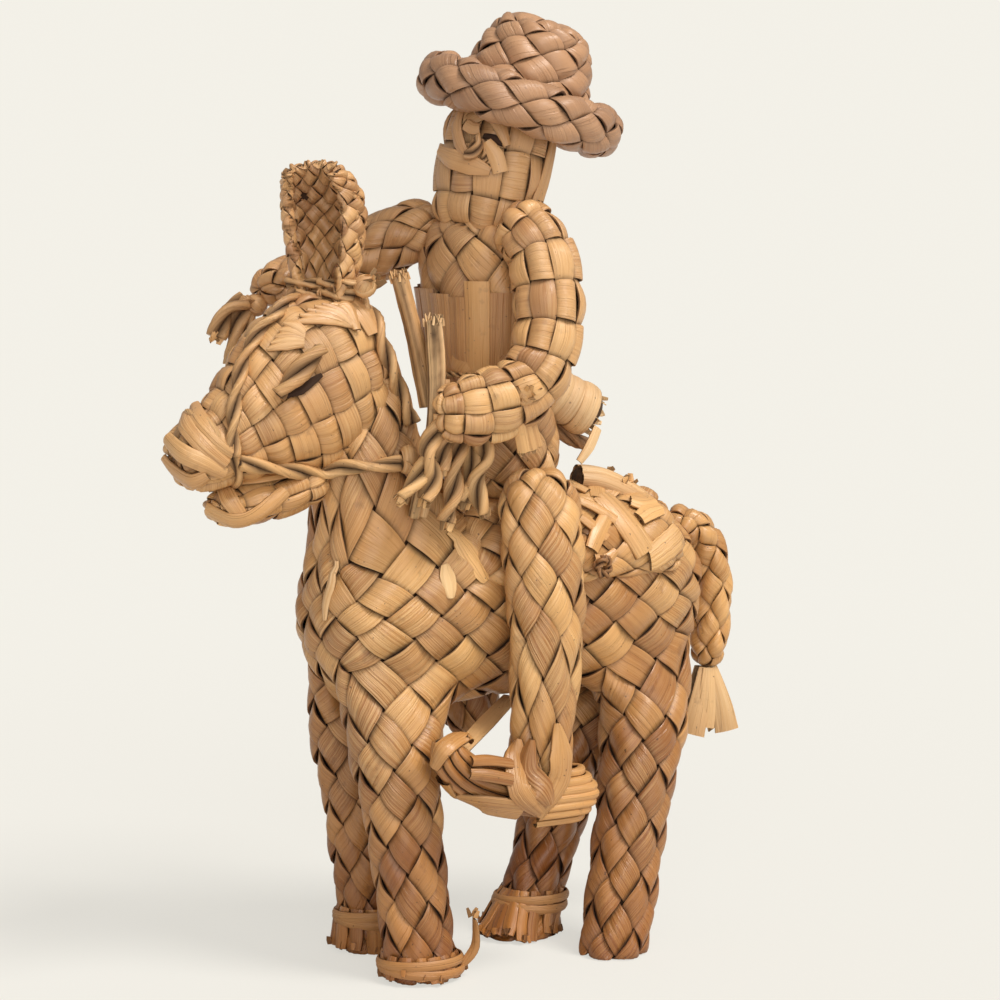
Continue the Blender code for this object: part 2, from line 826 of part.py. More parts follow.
def rider_head():
    stations = (
        (-7, -1, 104, 18, 15),
        (-4, -1, 117, 22, 19),
        (0, -1, 136, 21.5, 20.5),
        (4, -1, 151, 20, 19),
        (6, -1, 159, 14, 13),
    )

    def covered(place, normal):
        return place.z > HAT.z + 5 * MM or place.z < SEAT.z + 106 * MM

    add_plaited("rider_head", LEAF, limb_cage(SEAT, stations, 8, side=rider_side()), covered=covered)
    middle = SEAT + mm(-20, -20, 137)
    across = Vector((-0.7, 0.7, 0))
    route = []
    for step in range(10):
        angle = 2 * math.pi * step / 7
        radius = (1.8 + 4.5 * step / 9) * MM
        route.append(middle + across * math.cos(angle) * radius + UPWARD * math.sin(angle) * radius)
    curl = [place for place, _ in laid(route, ["rider_head"], CURL_RADIUS, 1)]
    add_piece("nose_curl", LEAF, tube(curl, CURL_RADIUS, 1), rests_on=["rider_head"], rounded=True)


def hat():
    """A thick plaited ring round the head, and the crown that rises from it."""
    axis = Vector((math.sin(HAT_TILT) * 0.87, -math.sin(HAT_TILT) * 0.5, math.cos(HAT_TILT)))
    brim = ring_cage(HAT, axis, HAT_RADIUS, HAT_BRIM_HALF_WIDTH, HAT_BRIM_HALF_HEIGHT, 12, 4)

    def round_the_head(place, normal):
        return normal.dot(place - HAT) < 0 and axis.dot(place - HAT) < 1 * MM

    add_plaited("hat_brim", LEAF, brim, covered=round_the_head)
    stations = []
    for rise, fullness in ((0.0, 1.4), (0.42, 1.12), (0.8, 0.98), (1.0, 0.65)):
        place = axis * HAT_CROWN_HEIGHT * rise / MM
        radius = HAT_CROWN_RADIUS * fullness / MM
        stations.append((place.x, place.y, place.z, radius, radius))

    def covered(place, normal):
        return (place - HAT).dot(axis) < HAT_BRIM_HALF_HEIGHT * 0.7

    add_plaited("hat_crown", LEAF, limb_cage(HAT, stations, 7), covered=covered)


def neck_strands():
    route = [SEAT + mm(24, -18, 148), SEAT + mm(20, -24, 134), SEAT + mm(10, -27, 116)]
    add_piece("neck_strands", LEAF, strip(laid(route, ["rider_head"]), 9 * MM), rests_on=["rider_head"])


def legs():
    """Each leg runs from the hip down the horse's side, and the near one ends round its foot."""
    near = (
        (22, 1, 55, 11, 14),
        (20, -7, 34, 11.5, 16),
        (20, -10, 14, 10.5, 15.5),
        (20, -11.5, -10, 10, 14),
        (18, -13, -42, 9.5, 11.5),
        (13, -14, -73, 12, 10),
    )
    add_plaited("near_leg", LEAF, limb_cage(NEAR_SIDE, near, 6))
    foot = (
        (35, -14, -72, 6, 6.5),
        (31, -14, -73, 10, 11),
        (8, -15, -70, 9.5, 10),
        (-14, -15, -63, 9, 9),
        (-25, -14, -54, 8, 8),
        (-27, -13, -46, 5, 5),
    )
    add_piece("near_foot", LEAF, limb_cage(NEAR_SIDE, foot, 12, growth=1, ridge=0.13))
    far = (
        (22, 0, 55, 11, 14),
        (21, 8, 28, 11.5, 15.5),
        (24, 11, -4, 10.5, 14),
        (30, 13, -36, 9.5, 12),
        (36, 11, -66, 9, 12),
    )
    add_plaited("far_leg", LEAF, limb_cage(FAR_SIDE, far, 6))


def arms():
    near = (
        (-4, -22, 110, 11, 11),
        (1, -35, 98, 13, 13),
        (0, -43, 70, 13, 13.5),
        (-10, -45, 47, 11, 14),
        (-32, -46, 39, 8, 14),
        (-50, -44, 38, 4, 9),
    )
    add_plaited("near_arm", LEAF, limb_cage(SEAT, near, 6, side=rider_side()))
    far = (
        (-12, 17, 107, 9, 9),
        (-26, 29, 104.5, 12, 12),
        (-40, 38, 92, 11, 11),
        (-54, 39, 86, 10, 10),
        (-72, 39, 85, 9, 11),
        (-86, 38, 82, 6, 9),
    )
    add_plaited("far_arm", LEAF, limb_cage(SEAT, far, 6, side=UPWARD))


def hand_strands():
    """The twisted ends of the strips that hang from each hand."""
    hand = mm(-18, -42, 212)
    ends = ((-42, -38, 193), (-30, -40, 185), (-15, -36, 186), (0, -38, 198))
    add_piece("near_hand_strands", TWIST, strand_bunch(hand, ends, mm(-3, -4, 3)))
    hand = mm(-67, 38, 264)
    ends = ((-84, 37, 254), (-77, 38, 242), (-68, 40, 250))
    add_piece("far_hand_strands", TWIST, strand_bunch(hand, ends, mm(-4, 0, 3)))


def strand_bunch(hand, ends, bow):
    strands = [knot(hand, 5 * MM)]
    for end in ends:
        tip = mm(*end)
        strands.append(twisted_strand([hand, hand.lerp(tip, 0.5) + bow, tip]))
    return joined(strands)


def twisted_strand(route):
    """A strip twisted tightly on itself, as a square rod that turns as it goes."""
    rings = []
    for index, (first, second) in enumerate(frames(route, SIDEWAYS)):
        ring = []
        for corner in range(4):
            angle = math.radians(90 * corner + 45 * index)
            ring.append(route[index] + (first * math.cos(angle) + second * math.sin(angle)) * STRAND_RADIUS)
        rings.append(ring)
    return loft(rings)


def back_bundle():
    """A short roll wound with strip behind the rider's waist, with its reed, stub and loose strip."""
    start, end = SEAT + mm(10, -11, 46), SEAT + mm(38, -15, 31)
    stations = []
    for step in range(7):
        place = (start.lerp(end, step / 6) - SEAT) / MM
        radius = 11.0 - 1.4 * (step % 2) - (2 if step in (0, 6) else 0)
        stations.append((place.x, place.y, place.z, radius, radius))
    add_piece("back_bundle", PALE_LEAF, limb_cage(SEAT, stations, 8, growth=1))
    reed = [SEAT + mm(10, -8, 34), SEAT + mm(24, -8, 25), SEAT + mm(40, -9, 17)]
    add_piece("bundle_reed", DARK_LEAF, tube(smooth_route(reed, 2), 3.5 * MM, 1), rounded=True)
    stub = [SEAT + mm(24, -12, 44), SEAT + mm(27, -12, 56)]
    add_piece("bundle_stub", LEAF, tube(stub, 2.2 * MM, 1), rounded=True)
    loose = [end + mm(-2, -7, -5), end + mm(-7, -9, -12), end + mm(-12, -9, -18)]
    add_piece("bundle_strip", PALE_LEAF, strip([(place, SIDEWAYS) for place in loose], 4 * MM))


# Bridle, ties and loose leaves


def bridle():
    head = ["horse_head", "horse_body"]
    around = Vector((0.87, 0, 0.5))
    muzzle = loop_round(POLL + mm(-62, 0, -41), around, ["horse_head"], 30 * MM, 4 * MM, TIE_THICKNESS, 10)
    add_piece("muzzle_band", TWIST, muzzle, rests_on=["horse_head"])
    cheek = [mm(-66, -26, 275), mm(-82, -26, 262), mm(-94, -26, 240), mm(-98, -26, 222), mm(-100, -24, 212)]
    add_piece("cheek_strap", LEAF, strip(laid(cheek, head, pieces=2), 5 * MM), rests_on=head)
    lash = [mm(-48, -24, 270), mm(-44, -30, 256), mm(-42, -34, 238), mm(-38, -34, 222), mm(-36, -34, 212)]
    add_piece("throat_lash", TWIST, laid_cord(lash, head, CORD_RADIUS), rests_on=head, rounded=True)
    rein = [mm(-96, -26, 207), mm(-84, -30, 205), mm(-68, -32, 206), mm(-50, -34, 208), mm(-38, -34, 209)]
    route = [place for place, _ in laid(rein, head + ["lower_jaw"], REIN_RADIUS, 2)]
    line = tube(route, REIN_RADIUS, 1)
    line = joined([line, knot(route[-1], 4.2 * MM)])
    add_piece("rein", TWIST, line, rests_on=head + ["lower_jaw"], rounded=True)


def ear_tie():
    """A twisted cord round the root of the ear."""
    ring = loop_round(POLL + mm(-17, -3, 20), UPWARD, ["near_ear"], 24 * MM, 4.5 * MM, 3 * MM, 12)
    add_piece("ear_tie", TWIST, ring)


def hoof_ties():
    """Pale ties above the cut ends of three legs."""
    for name, _, side, hoof, root, _, height in LEGS:
        if not height:
            continue
        drop = (LEG_TOP - height) / (LEG_TOP + HOOF_CUT)
        x, y = Vector((root, LEG_ROOT if side else -LEG_ROOT)).lerp(hoof, drop)
        centre = Vector((x, y, height))
        ring = loop_round(centre, UPWARD, ["horse_body"], 19 * MM, 3.4 * MM, TIE_THICKNESS, 9)
        if name == "near_front":
            out = centre + mm(14, -9, 0)
            loose_end = twisted_strand([out, out + mm(4, -3, 8), out + mm(3, -4, 20)])
            ring = joined([ring, loose_end])
        add_piece(name + "_tie", PALE_LEAF, ring, rests_on=["horse_body"])


def loose_leaves():
    body = ["horse_body"]
    chest = [mm(-70, -20, 170), mm(-72, -18, 157), mm(-71, -16, 144)]
    add_piece("chest_leaf", PALE_LEAF, strip(laid(chest, body, pieces=2), 6 * MM), rests_on=body)
    shoulder = [mm(-19, -40, 169), mm(-18, -40, 161), mm(-18, -40, 153)]
    add_piece("shoulder_leaf", PALE_LEAF, strip(laid(shoulder, body, pieces=2), 6 * MM), rests_on=body)
    loop = [mm(-9, -40, 184), mm(-5, -42, 172), mm(-1, -42, 160)]
    add_piece("saddle_loop", LEAF, strip(laid(loop, body, pieces=2), 8 * MM), rests_on=body)
    strap = [mm(-19, -40, 93), mm(4, -22, 99), mm(26, -4, 104)]
    facing = Vector((-0.3, -0.6, 0.7)).normalized()
    add_piece("stirrup_strap", PALE_LEAF, strip([(place, facing) for place in strap], 6 * MM))


def stems():
    """Two cut stems between the neck and the near hand."""
    short = [mm(-34, -20, 277), mm(-29, -24, 252), mm(-25, -27, 227)]
    add_piece("short_stem", LEAF, tube(short, STEM_RADIUS), rounded=True)
    long = [mm(-24, -29, 260), mm(-25, -33, 238), mm(-27, -32, 214), mm(-30, -24, 184)]
    add_piece("long_stem", PALE_LEAF, tube(long, LONG_STEM_RADIUS), rounded=True)


def centre_on_floor():
    """Moves the whole figure so that the middle of its footprint is at the origin."""
    lows, highs = zip(*[bounds(piece) for piece in FIGURE.objects])
    middle = [(min(low[n] for low in lows) + max(high[n] for high in highs)) / 2 for n in range(2)]
    for item in list(FIGURE.objects) + list(GUIDE_COLLECTION.objects):
        item.location = (-middle[0], -middle[1], 0)


def main():
    horse_body()
    horse_head()
    lower_jaw()
    near_ear()
    ear_tie()
    tail()
    saddle_mat()
    rider_torso()
    waist_band()
    rider_head()
    hat()
    neck_strands()
    legs()
    arms()
    back_bundle()
    saddle_trim()
    bridle()
    hoof_ties()
    loose_leaves()
    stems()
    hand_strands()
    centre_on_floor()


clear_scene()
FIGURE = new_collection("horse_and_rider")
GUIDE_COLLECTION = new_collection("guides")
main()
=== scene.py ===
"""The look of the plaited horse and rider: real strips of dried leaf woven over each member.

Units: metres, +Z up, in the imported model's frame. The horse faces -X and its near side is -Y.
"""

import json
import math
import random

import bmesh
import bpy
import numpy
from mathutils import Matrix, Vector
from mathutils.bvhtree import BVHTree

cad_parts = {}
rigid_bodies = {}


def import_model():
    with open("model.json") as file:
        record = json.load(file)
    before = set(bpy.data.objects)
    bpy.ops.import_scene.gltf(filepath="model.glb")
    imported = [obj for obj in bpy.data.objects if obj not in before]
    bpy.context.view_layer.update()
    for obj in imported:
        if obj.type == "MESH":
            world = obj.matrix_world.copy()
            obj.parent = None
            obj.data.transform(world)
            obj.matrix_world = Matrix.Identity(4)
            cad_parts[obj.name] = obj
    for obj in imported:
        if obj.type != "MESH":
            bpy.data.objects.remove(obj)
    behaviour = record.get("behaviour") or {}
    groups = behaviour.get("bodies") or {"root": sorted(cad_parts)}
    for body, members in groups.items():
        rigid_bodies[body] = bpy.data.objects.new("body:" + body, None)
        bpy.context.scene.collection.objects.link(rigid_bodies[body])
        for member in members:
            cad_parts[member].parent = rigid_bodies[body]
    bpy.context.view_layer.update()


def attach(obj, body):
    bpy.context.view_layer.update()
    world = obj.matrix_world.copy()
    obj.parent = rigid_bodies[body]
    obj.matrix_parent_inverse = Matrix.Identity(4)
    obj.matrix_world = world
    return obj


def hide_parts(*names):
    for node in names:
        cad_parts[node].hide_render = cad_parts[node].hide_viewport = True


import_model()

MM = 0.001

BODY_CELLS = 7
BODY_AROUND = 12
BODY_FRONT = -55.5 * MM
BODY_LENGTH = 161.5 * MM
BODY_MIDDLE = 145 * MM
BODY_HALF_HEIGHT = 38.5 * MM
BODY_HALF_WIDTH = 30 * MM
BODY_FULLNESS = (0.76, 0.97, 1.0, 0.98, 0.97, 1.0, 0.97, 0.74)
END_BULGE = 9 * MM
LEG_RINGS = 6
LEG_AROUND = 6
LEG_TOP = BODY_MIDDLE - 1.25 * BODY_HALF_HEIGHT
HOOF_CUT = 9 * MM
LEG_HALF_LENGTH = 13.2 * MM
LEG_HALF_WIDTH = 12.2 * MM
LEG_ROOT = 18 * MM
NECK_RISE = 69 * MM
NECK_LEAN = 7 * MM
NECK_ROOT_SIZE = 21 * MM
NECK_TOP_SIZE = 12 * MM
NECK_RINGS = 3
NECK_AROUND = 10
MAT_THICKNESS = 4.5 * MM
MAT_HUMP = 4.5 * MM
MAT_FRONT = -4 * MM
MAT_LENGTH = 98 * MM
MAT_REACH = math.radians(76)
MAT_CELLS = 4
RIDER_TURN = math.radians(25)
RIDER_SIDE = Vector((math.sin(RIDER_TURN), -math.cos(RIDER_TURN), 0))
HAT_TILT = math.radians(19)
HAT_RADIUS = 33 * MM
HAT_BRIM_HALF_WIDTH = 8.5 * MM
HAT_BRIM_HALF_HEIGHT = 8.5 * MM
HAT_CROWN_HEIGHT = 34 * MM
HAT_CROWN_RADIUS = 20 * MM
SIDEWAYS = Vector((0, -1, 0))
UP = Vector((0, 0, 1))

SKINS = {}


def mm(x, y, z):
    return Vector((x, y, z)) * MM


BACK = Vector((0, 0, BODY_MIDDLE + BODY_HALF_HEIGHT))
NECK_ROOT = BACK + Vector((BODY_FRONT + BODY_LENGTH / BODY_CELLS - 3 * MM, 0, 0))
POLL = NECK_ROOT + Vector((-NECK_LEAN, 0, NECK_RISE))
NEAR_SIDE = Vector((0, -BODY_HALF_WIDTH, BODY_MIDDLE))
FAR_SIDE = Vector((0, BODY_HALF_WIDTH, BODY_MIDDLE))
RUMP = Vector((BODY_FRONT + BODY_LENGTH, 0, BODY_MIDDLE))
SEAT = BACK + Vector((20 * MM, 0, MAT_THICKNESS))
HAT = SEAT + mm(11, -2, 155)
LEGS = (
    # name, first block along and across, hoof, root, thickness down the leg, height of the tie
    ("near_front", 0, 0, mm(-26, -25, 0).xy, -36 * MM, (1.38, 1.12, 1.02, 1.0, 0.95, 1.12), 6 * MM),
    ("far_front", 0, 2, mm(-20, 25, 0).xy, -36 * MM, (1.3, 1.05, 0.98, 0.95, 0.78, 1.42), 14 * MM),
    ("near_hind", 5, 0, mm(55, -35, 0).xy, 83 * MM, (1.36, 1.15, 1.05, 1.0, 1.0, 0.9), 0),
    ("far_hind", 5, 2, mm(37, 11, 0).xy, 78 * MM, (1.3, 1.1, 1.0, 0.95, 0.76, 1.5), 14 * MM),
)


def spline_growth(around):
    """How much larger than its smoothed form a closed ring of cage points has to be."""
    return 6 / (4 + 2 * math.cos(math.tau / around))


def block_cage(blocks, place):
    """The outer faces of a set of unit blocks, each corner put in space by place(i, j, k)."""
    cage = bmesh.new()
    corners = {}
    for block in sorted(blocks):
        for axis in range(3):
            for way in (-1, 1):
                step = [0, 0, 0]
                step[axis] = way
                if tuple(a + b for a, b in zip(block, step)) in blocks:
                    continue
                found = []
                for turn in ((0, 0), (1, 0), (1, 1), (0, 1)):
                    corner = list(block)
                    corner[axis] += way > 0
                    corner[(axis + 1) % 3] += turn[0]
                    corner[(axis + 2) % 3] += turn[1]
                    key = tuple(corner)
                    if key not in corners:
                        corners[key] = cage.verts.new(place(*key))
                    found.append(corners[key])
                cage.faces.new(found[::way])
    return cage


def square_to_round(across, up):
    """Moves a point of a square from -1 to 1 onto a disc, so that blocks make a round member."""
    return across * math.sqrt(1 - up * up / 2), up * math.sqrt(1 - across * across / 2)


def frames(centres, side=None):
    """Two directions square to a route at each centre. Without a side, they turn as little as they can."""
    found = []
    first = None
    for index in range(len(centres)):
        along = centres[min(index + 1, len(centres) - 1)] - centres[max(index - 1, 0)]
        along.normalize()
        if side is not None:
            first = side
        elif first is None:
            first = along.orthogonal()
        first = (first - along * first.dot(along)).normalized()
        found.append((first, along.cross(first)))
    return found


def spine(anchor, stations, side=SIDEWAYS):
    """Each station's centre and two directions square to the member, for stations in millimetres."""
    centres = [anchor + mm(*station[:3]) for station in stations]
    return centres, frames(centres, side)


def turned(first, second, angle):
    """The direction at an angle from the first of two directions towards the second."""
    return first * math.cos(angle) + second * math.sin(angle)


def loft(rings):
    """A closed solid through rings of points."""
    solid = bmesh.new()
    made = [[solid.verts.new(point) for point in ring] for ring in rings]
    for lower, upper in zip(made, made[1:]):
        for step in range(len(lower)):
            after = (step + 1) % len(lower)
            solid.faces.new((lower[step], lower[after], upper[after], upper[step]))
    solid.faces.new(made[0][::-1])
    solid.faces.new(made[-1])
    return solid


def limb_cage(anchor, stations, around, side=SIDEWAYS, growth=None):
    """A closed tube through stations: x, y, z, half size along side and across, in millimetres."""
    reach = (growth or spline_growth(around)) * MM
    rings = []
    for centre, (first, second), station in zip(*spine(anchor, stations, side), stations):
        ring = []
        for step in range(around):
            angle = math.tau * step / around
            along_side = math.cos(angle) * station[3] * reach
            across_side = math.sin(angle) * station[4] * reach
            ring.append(centre + first * along_side + second * across_side)
        rings.append(ring)
    return loft(rings)


def ring_cage(centre, axis, radius, half_radial, half_axial, steps, around):
    """A closed ring of thick section about an axis."""
    growth = spline_growth(around)
    front = axis.orthogonal().normalized()
    right = axis.cross(front)
    solid = bmesh.new()
    rings = []
    for step in range(steps):
        outward = turned(front, right, math.tau * step / steps)
        ring = []
        for corner in range(around):
            turn = math.tau * (corner + 0.5) / around
            reach = radius * spline_growth(steps) + half_radial * growth * math.cos(turn)
            height = half_axial * growth * math.sin(turn)
            ring.append(solid.verts.new(centre + outward * reach + axis * height))
        rings.append(ring)
    for here, there in zip(rings, rings[1:] + rings[:1]):
        for corner in range(around):
            after = (corner + 1) % around
            solid.faces.new((here[corner], there[corner], there[after], here[after]))
    return solid


def sheet_cage(rows, half_thickness):
    """A leaf-like sheet: its two sides share the points of its rim."""
    cage = bmesh.new()
    last_row, last_column = len(rows) - 1, len(rows[0]) - 1
    front, back = {}, {}
    for r, row in enumerate(rows):
        for c, point in enumerate(row):
            down = rows[min(r + 1, last_row)][c] - rows[max(r - 1, 0)][c]
            across = row[min(c + 1, last_column)] - row[max(c - 1, 0)]
            normal = across.cross(down).normalized() * half_thickness
            if r in (0, last_row) or c in (0, last_column):
                front[r, c] = back[r, c] = cage.verts.new(point)
            else:
                front[r, c] = cage.verts.new(point + normal)
                back[r, c] = cage.verts.new(point - normal)
    for r in range(last_row):
        for c in range(last_column):
            corners = ((r, c), (r, c + 1), (r + 1, c + 1), (r + 1, c))
            cage.faces.new([front[key] for key in corners])
            cage.faces.new([back[key] for key in reversed(corners)])
    return cage


def smooth_route(points, pieces=4):
    """A route through given points, rounded between them."""
    route = []
    for index in range(len(points) - 1):
        before = points[max(index - 1, 0)]
        start, end = points[index], points[index + 1]
        after = points[min(index + 2, len(points) - 1)]
        for step in range(pieces):
            t = step / pieces
            bend = (2 * before - 5 * start + 4 * end - after) * t * t
            turn = (3 * start - before - 3 * end + after) * t * t * t
            route.append((2 * start + (end - before) * t + bend + turn) / 2)
    route.append(points[-1])
    return route


def horse_body_place(i, j, k):
    """Where a corner of the blocks lies: in the barrel, in a leg below it or in the neck above it."""
    if k < 0:
        return leg_place(i, j, k)
    if k > 3:
        return neck_place(i, j, k)
    across, up = square_to_round((j - 1.5) / 1.5, (k - 1.5) / 1.5)
    fullness = BODY_FULLNESS[i] * spline_growth(BODY_AROUND)
    x = BODY_FRONT + BODY_LENGTH * i / BODY_CELLS
    if 0 < j < 3 and 0 < k < 3:
        x += {0: -END_BULGE, BODY_CELLS: END_BULGE}[i]
    y = across * BODY_HALF_WIDTH * fullness
    return Vector((x, y, BODY_MIDDLE + up * BODY_HALF_HEIGHT * fullness))


def leg_middle(side, hoof, root, drop):
    """The middle of a leg, from its root at 0 to its hoof at 1, seen from above."""
    return Vector((root, LEG_ROOT if side else -LEG_ROOT)).lerp(hoof, drop)


def leg_place(i, j, k):
    matching = [leg for leg in LEGS if leg[1] <= i <= leg[1] + 2 and leg[2] <= j <= leg[2] + 1]
    _, first, side, hoof, root, thickness, _ = matching[0]
    down = -k - 1
    drop = down / (LEG_RINGS - 1)
    x, y = leg_middle(side, hoof, root, drop)
    z = LEG_TOP - (LEG_TOP + HOOF_CUT) * drop
    size = thickness[down] * spline_growth(LEG_AROUND)
    column, row = i - first - 1, 2 * (j - side) - 1
    x += math.sin(math.pi / 3) * column * LEG_HALF_LENGTH * size
    y += row * (0.5 if column else 1.0) * LEG_HALF_WIDTH * size
    return Vector((x, y, z))


def neck_place(i, j, k):
    rise = (k - 3) / NECK_RINGS
    centre = NECK_ROOT.lerp(POLL, rise)
    size = NECK_ROOT_SIZE + (NECK_TOP_SIZE - NECK_ROOT_SIZE) * (k - 4) / (NECK_RINGS - 1)
    along, across = square_to_round(i - 1, (j - 1.5) / 1.5)
    return centre + Vector((along, across, 0)) * size * spline_growth(NECK_AROUND)


# Leaf strips

# From the horse's own origin to the middle of the footprint
SHIFT = mm(-7.5, 1.9, 0)
# Places along and across one cell of a strip, which reaches a little past the cell at both ends
ALONG = (-0.3, -0.12, 0.0, 0.08, 0.2, 0.35, 0.5, 0.65, 0.8, 0.92, 1.0, 1.12, 1.3)
ACROSS = (-1.0, -0.96, -0.87, -0.81, -0.4, 0.0, 0.4, 0.81, 0.87, 0.96, 1.0)
# How far across a strip its folded edge starts
FOLD_START = 0.84
FLOOR_CLEAR = 0.4 * MM
# Units of the leaf pattern for each millimetre, and the crosswise step in it from strip to strip
UV_SCALE = 0.01
STRIP_STEP = 41.3
# Points round each ply of a cord
CORD_SIDES = 8
PALE = (0.90, 0.875, 0.805, 1)
CAMERA_TURN = math.radians(30)
CAMERA_PITCH = math.radians(7)
CAMERA_AWAY = 1.2
CAMERA_TARGET = mm(0, 0, 190)
FOCAL_PIXELS = 3000
AIM = Vector((
    math.sin(CAMERA_TURN) * math.cos(CAMERA_PITCH),
    math.cos(CAMERA_TURN) * math.cos(CAMERA_PITCH),
    -math.sin(CAMERA_PITCH),
))


class Leaves:
    """The strips of one piece: points, faces, lengthwise and crosswise places on the leaf, and tones, each
    paired with a painted light level for painted shade.
    """

    def __init__(self):
        self.points = []
        self.faces = []
        self.uvs = []
        self.tones_and_shade = []

    def add_rows(self, rows, us, vs, tone, depths, closed=False):
        """A grid of points, with u down the strip and v across it, both in millimetres. Each point also gets
        the strip's tone and a painted light level: 1 is full colour, lower is painted shade.
        """
        first = len(self.points)
        width = len(rows[0])
        for row, u, depth_row in zip(rows, us, depths):
            for place, v, depth in zip(row, vs, depth_row):
                self.points.append(place)
                self.uvs.append((u * UV_SCALE, v * UV_SCALE))
                self.tones_and_shade.append((tone, depth))
        for r in range(len(rows) - 1):
            here = first + r * width
            for n in range(here, here + width - 1):
                self.faces.append((n, n + 1, n + width + 1, n + width))
            if closed:
                self.faces.append((here + width - 1, here, here + width, here + 2 * width - 1))

    def build(self, name, node, slot, look=None):
        """The mesh piece that stands for a node."""
        mesh = bpy.data.meshes.new(name)
        moved = [(p.x + SHIFT.x, p.y + SHIFT.y, max(p.z, FLOOR_CLEAR)) for p in self.points]
        mesh.from_pydata(moved, [], self.faces)
        layer = mesh.uv_layers.new(name="leaf")
        for loop in mesh.loops:
            layer.data[loop.index].uv = self.uvs[loop.vertex_index]
        # The tone attribute: the strip's own tone, then its painted light level, where low values are painted
        # shade.
        tones_and_shade = mesh.color_attributes.new("tone", "FLOAT_COLOR", "POINT")
        for item, (tone, depth) in zip(tones_and_shade.data, self.tones_and_shade):
            item.color = (tone, depth, 0, 1)
        mesh.shade_smooth()
        mesh.materials.append(LOOKS[look or slot])
        piece = bpy.data.objects.new(name, mesh)
        bpy.context.scene.collection.objects.link(piece)
        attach(piece, "root")
        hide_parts(node)


class Skin:
    """A cage smoothed by subdivision, which strips are laid on."""

    def __init__(self, cage, levels=3):
        mesh = bpy.data.meshes.new("cage")
        cage.to_mesh(mesh)
        holder = bpy.data.objects.new("cage", mesh)
        bpy.context.scene.collection.objects.link(holder)
        holder.modifiers.new("smooth", "SUBSURF").levels = levels
        evaluated = holder.evaluated_get(bpy.context.evaluated_depsgraph_get())
        smooth = evaluated.to_mesh()
        self.points = [vertex.co.copy() for vertex in smooth.vertices]
        self.normals = [vertex.normal.copy() for vertex in smooth.vertices]
        self.faces = [tuple(face.vertices) for face in smooth.polygons]
        self.tree = BVHTree.FromPolygons(self.points, self.faces)
        evaluated.to_mesh_clear()
        bpy.data.objects.remove(holder)
        bpy.data.meshes.remove(mesh)

    def near(self, place, height=0.0):
        """The nearest place on the skin, raised by a height, and the outward direction there."""
        foot, _, index, _ = self.tree.find_nearest(place)
        normal = Vector()
        for n in self.faces[index]:
            normal += self.normals[n] * (1 / ((self.points[n] - foot).length + 1e-6) ** 2)
        normal.normalize()
        return foot + normal * height, normal

    def core(self, leaves, inset):
        """A dark surface just under the strips: painted shade that shows through the gaps between them."""
        first = len(leaves.points)
        for place, normal in zip(self.points, self.normals):
            leaves.points.append(place - normal * inset)
            leaves.uvs.append((place.z * 10, (place.x + place.y) * 10))
            leaves.tones_and_shade.append((0.4, 0.12))
        leaves.faces += [tuple(first + n for n in face) for face in self.faces]


class Groups:
    """Joins keys into sets, and gives each set a number."""

    def __init__(self):
        self.parent = {}
        self.numbers = {}

    def find(self, key):
        self.parent.setdefault(key, key)
        while self.parent[key] != key:
            key = self.parent[key]
        return key

    def join(self, a, b):
        a, b = self.find(a), self.find(b)
        if a != b:
            self.parent[b] = a

    def number(self, key):
        return self.numbers.setdefault(self.find(key), len(self.numbers))


def weave_cell(leaves, skin, corners, number, seed, crest=1.0):
    """One visible check: a strip that rises over its neighbour and dips under the next ones."""
    a, b, c, d = corners
    habit = random.Random(number * 7919 + seed)
    dice = random.Random(hash((round(a.x * 1e5), round(c.y * 1e5), round(b.z * 1e5))) + seed)
    fold = habit.choice((0, 0, 1, -1, 2))
    tone = habit.gauss(0.5, 0.17) + dice.gauss(0, 0.1)
    width = habit.uniform(0.93, 1.03)
    length = ((b + c) / 2 - (a + d) / 2).length
    breadth = ((a + b) / 2 - (c + d) / 2).length
    turn = dice.uniform(-0.05, 0.05)
    side = dice.uniform(-0.05, 0.05)
    unit = MM * crest
    tilt = (habit.uniform(-0.15, 0.15) + dice.uniform(-0.3, 0.3)) * unit
    rise = dice.uniform(-0.2, 0.35) * unit
    dome = dice.uniform(0.2, 0.7) * unit
    step = dice.uniform(0.3, 0.55) * unit
    rows, depths = [], []
    for u in ALONG:
        row = []
        bow = math.cos(math.pi * (u - 0.5))
        top = max(bow, 0)
        # Painted shade: the strip darkens towards both ends, where it dips under its neighbours.
        end = min(max(min(u, 1 - u) * 4.0 + 0.5, 0.0), 1.0)
        for v in ACROSS:
            w = v * width * (1 - 0.05 * (2 * u - 1) ** 2) + side + turn * (2 * u - 1)
            w = (w + 1) / 2
            height = (0.1 + 1.75 * bow) * unit + (rise + tilt * v + dome * (1 - v * v)) * top
            if abs(v) == 1:
                height -= 0.15 * MM
            if v * fold > FOLD_START or fold == 2 and abs(v) > FOLD_START:
                height -= step
            row.append(skin.near(a.lerp(d, w).lerp(b.lerp(c, w), u), height)[0])
        rows.append(row)
        # Painted shade, a little deeper at the two edges.
        depths.append([end * 0.75] + [end] * (len(ACROSS) - 2) + [end * 0.75])
    start = dice.uniform(0, 400)
    us = [start + u * length / MM for u in ALONG]
    vs = [number * STRIP_STEP + seed + v * breadth / MM / 2 for v in ACROSS]
    leaves.add_rows(rows, us, vs, tone, depths)
    # Edges folded down under the strip, in a darker tone with painted shade on their undersides.
    for column, inner in ((0, 1), (-1, -2)):
        lip = []
        for row in rows:
            place = row[column]
            _, normal = skin.near(place)
            under = place - normal * 1.1 * unit + (row[inner] - place) * 0.5
            lip.append((place, under) if column else (under, place))
        shades = (0.6, 0.1) if column else (0.1, 0.6)
        leaves.add_rows(lip, us, (vs[column], vs[column] + 0.6), tone - 0.1, [shades] * len(lip))


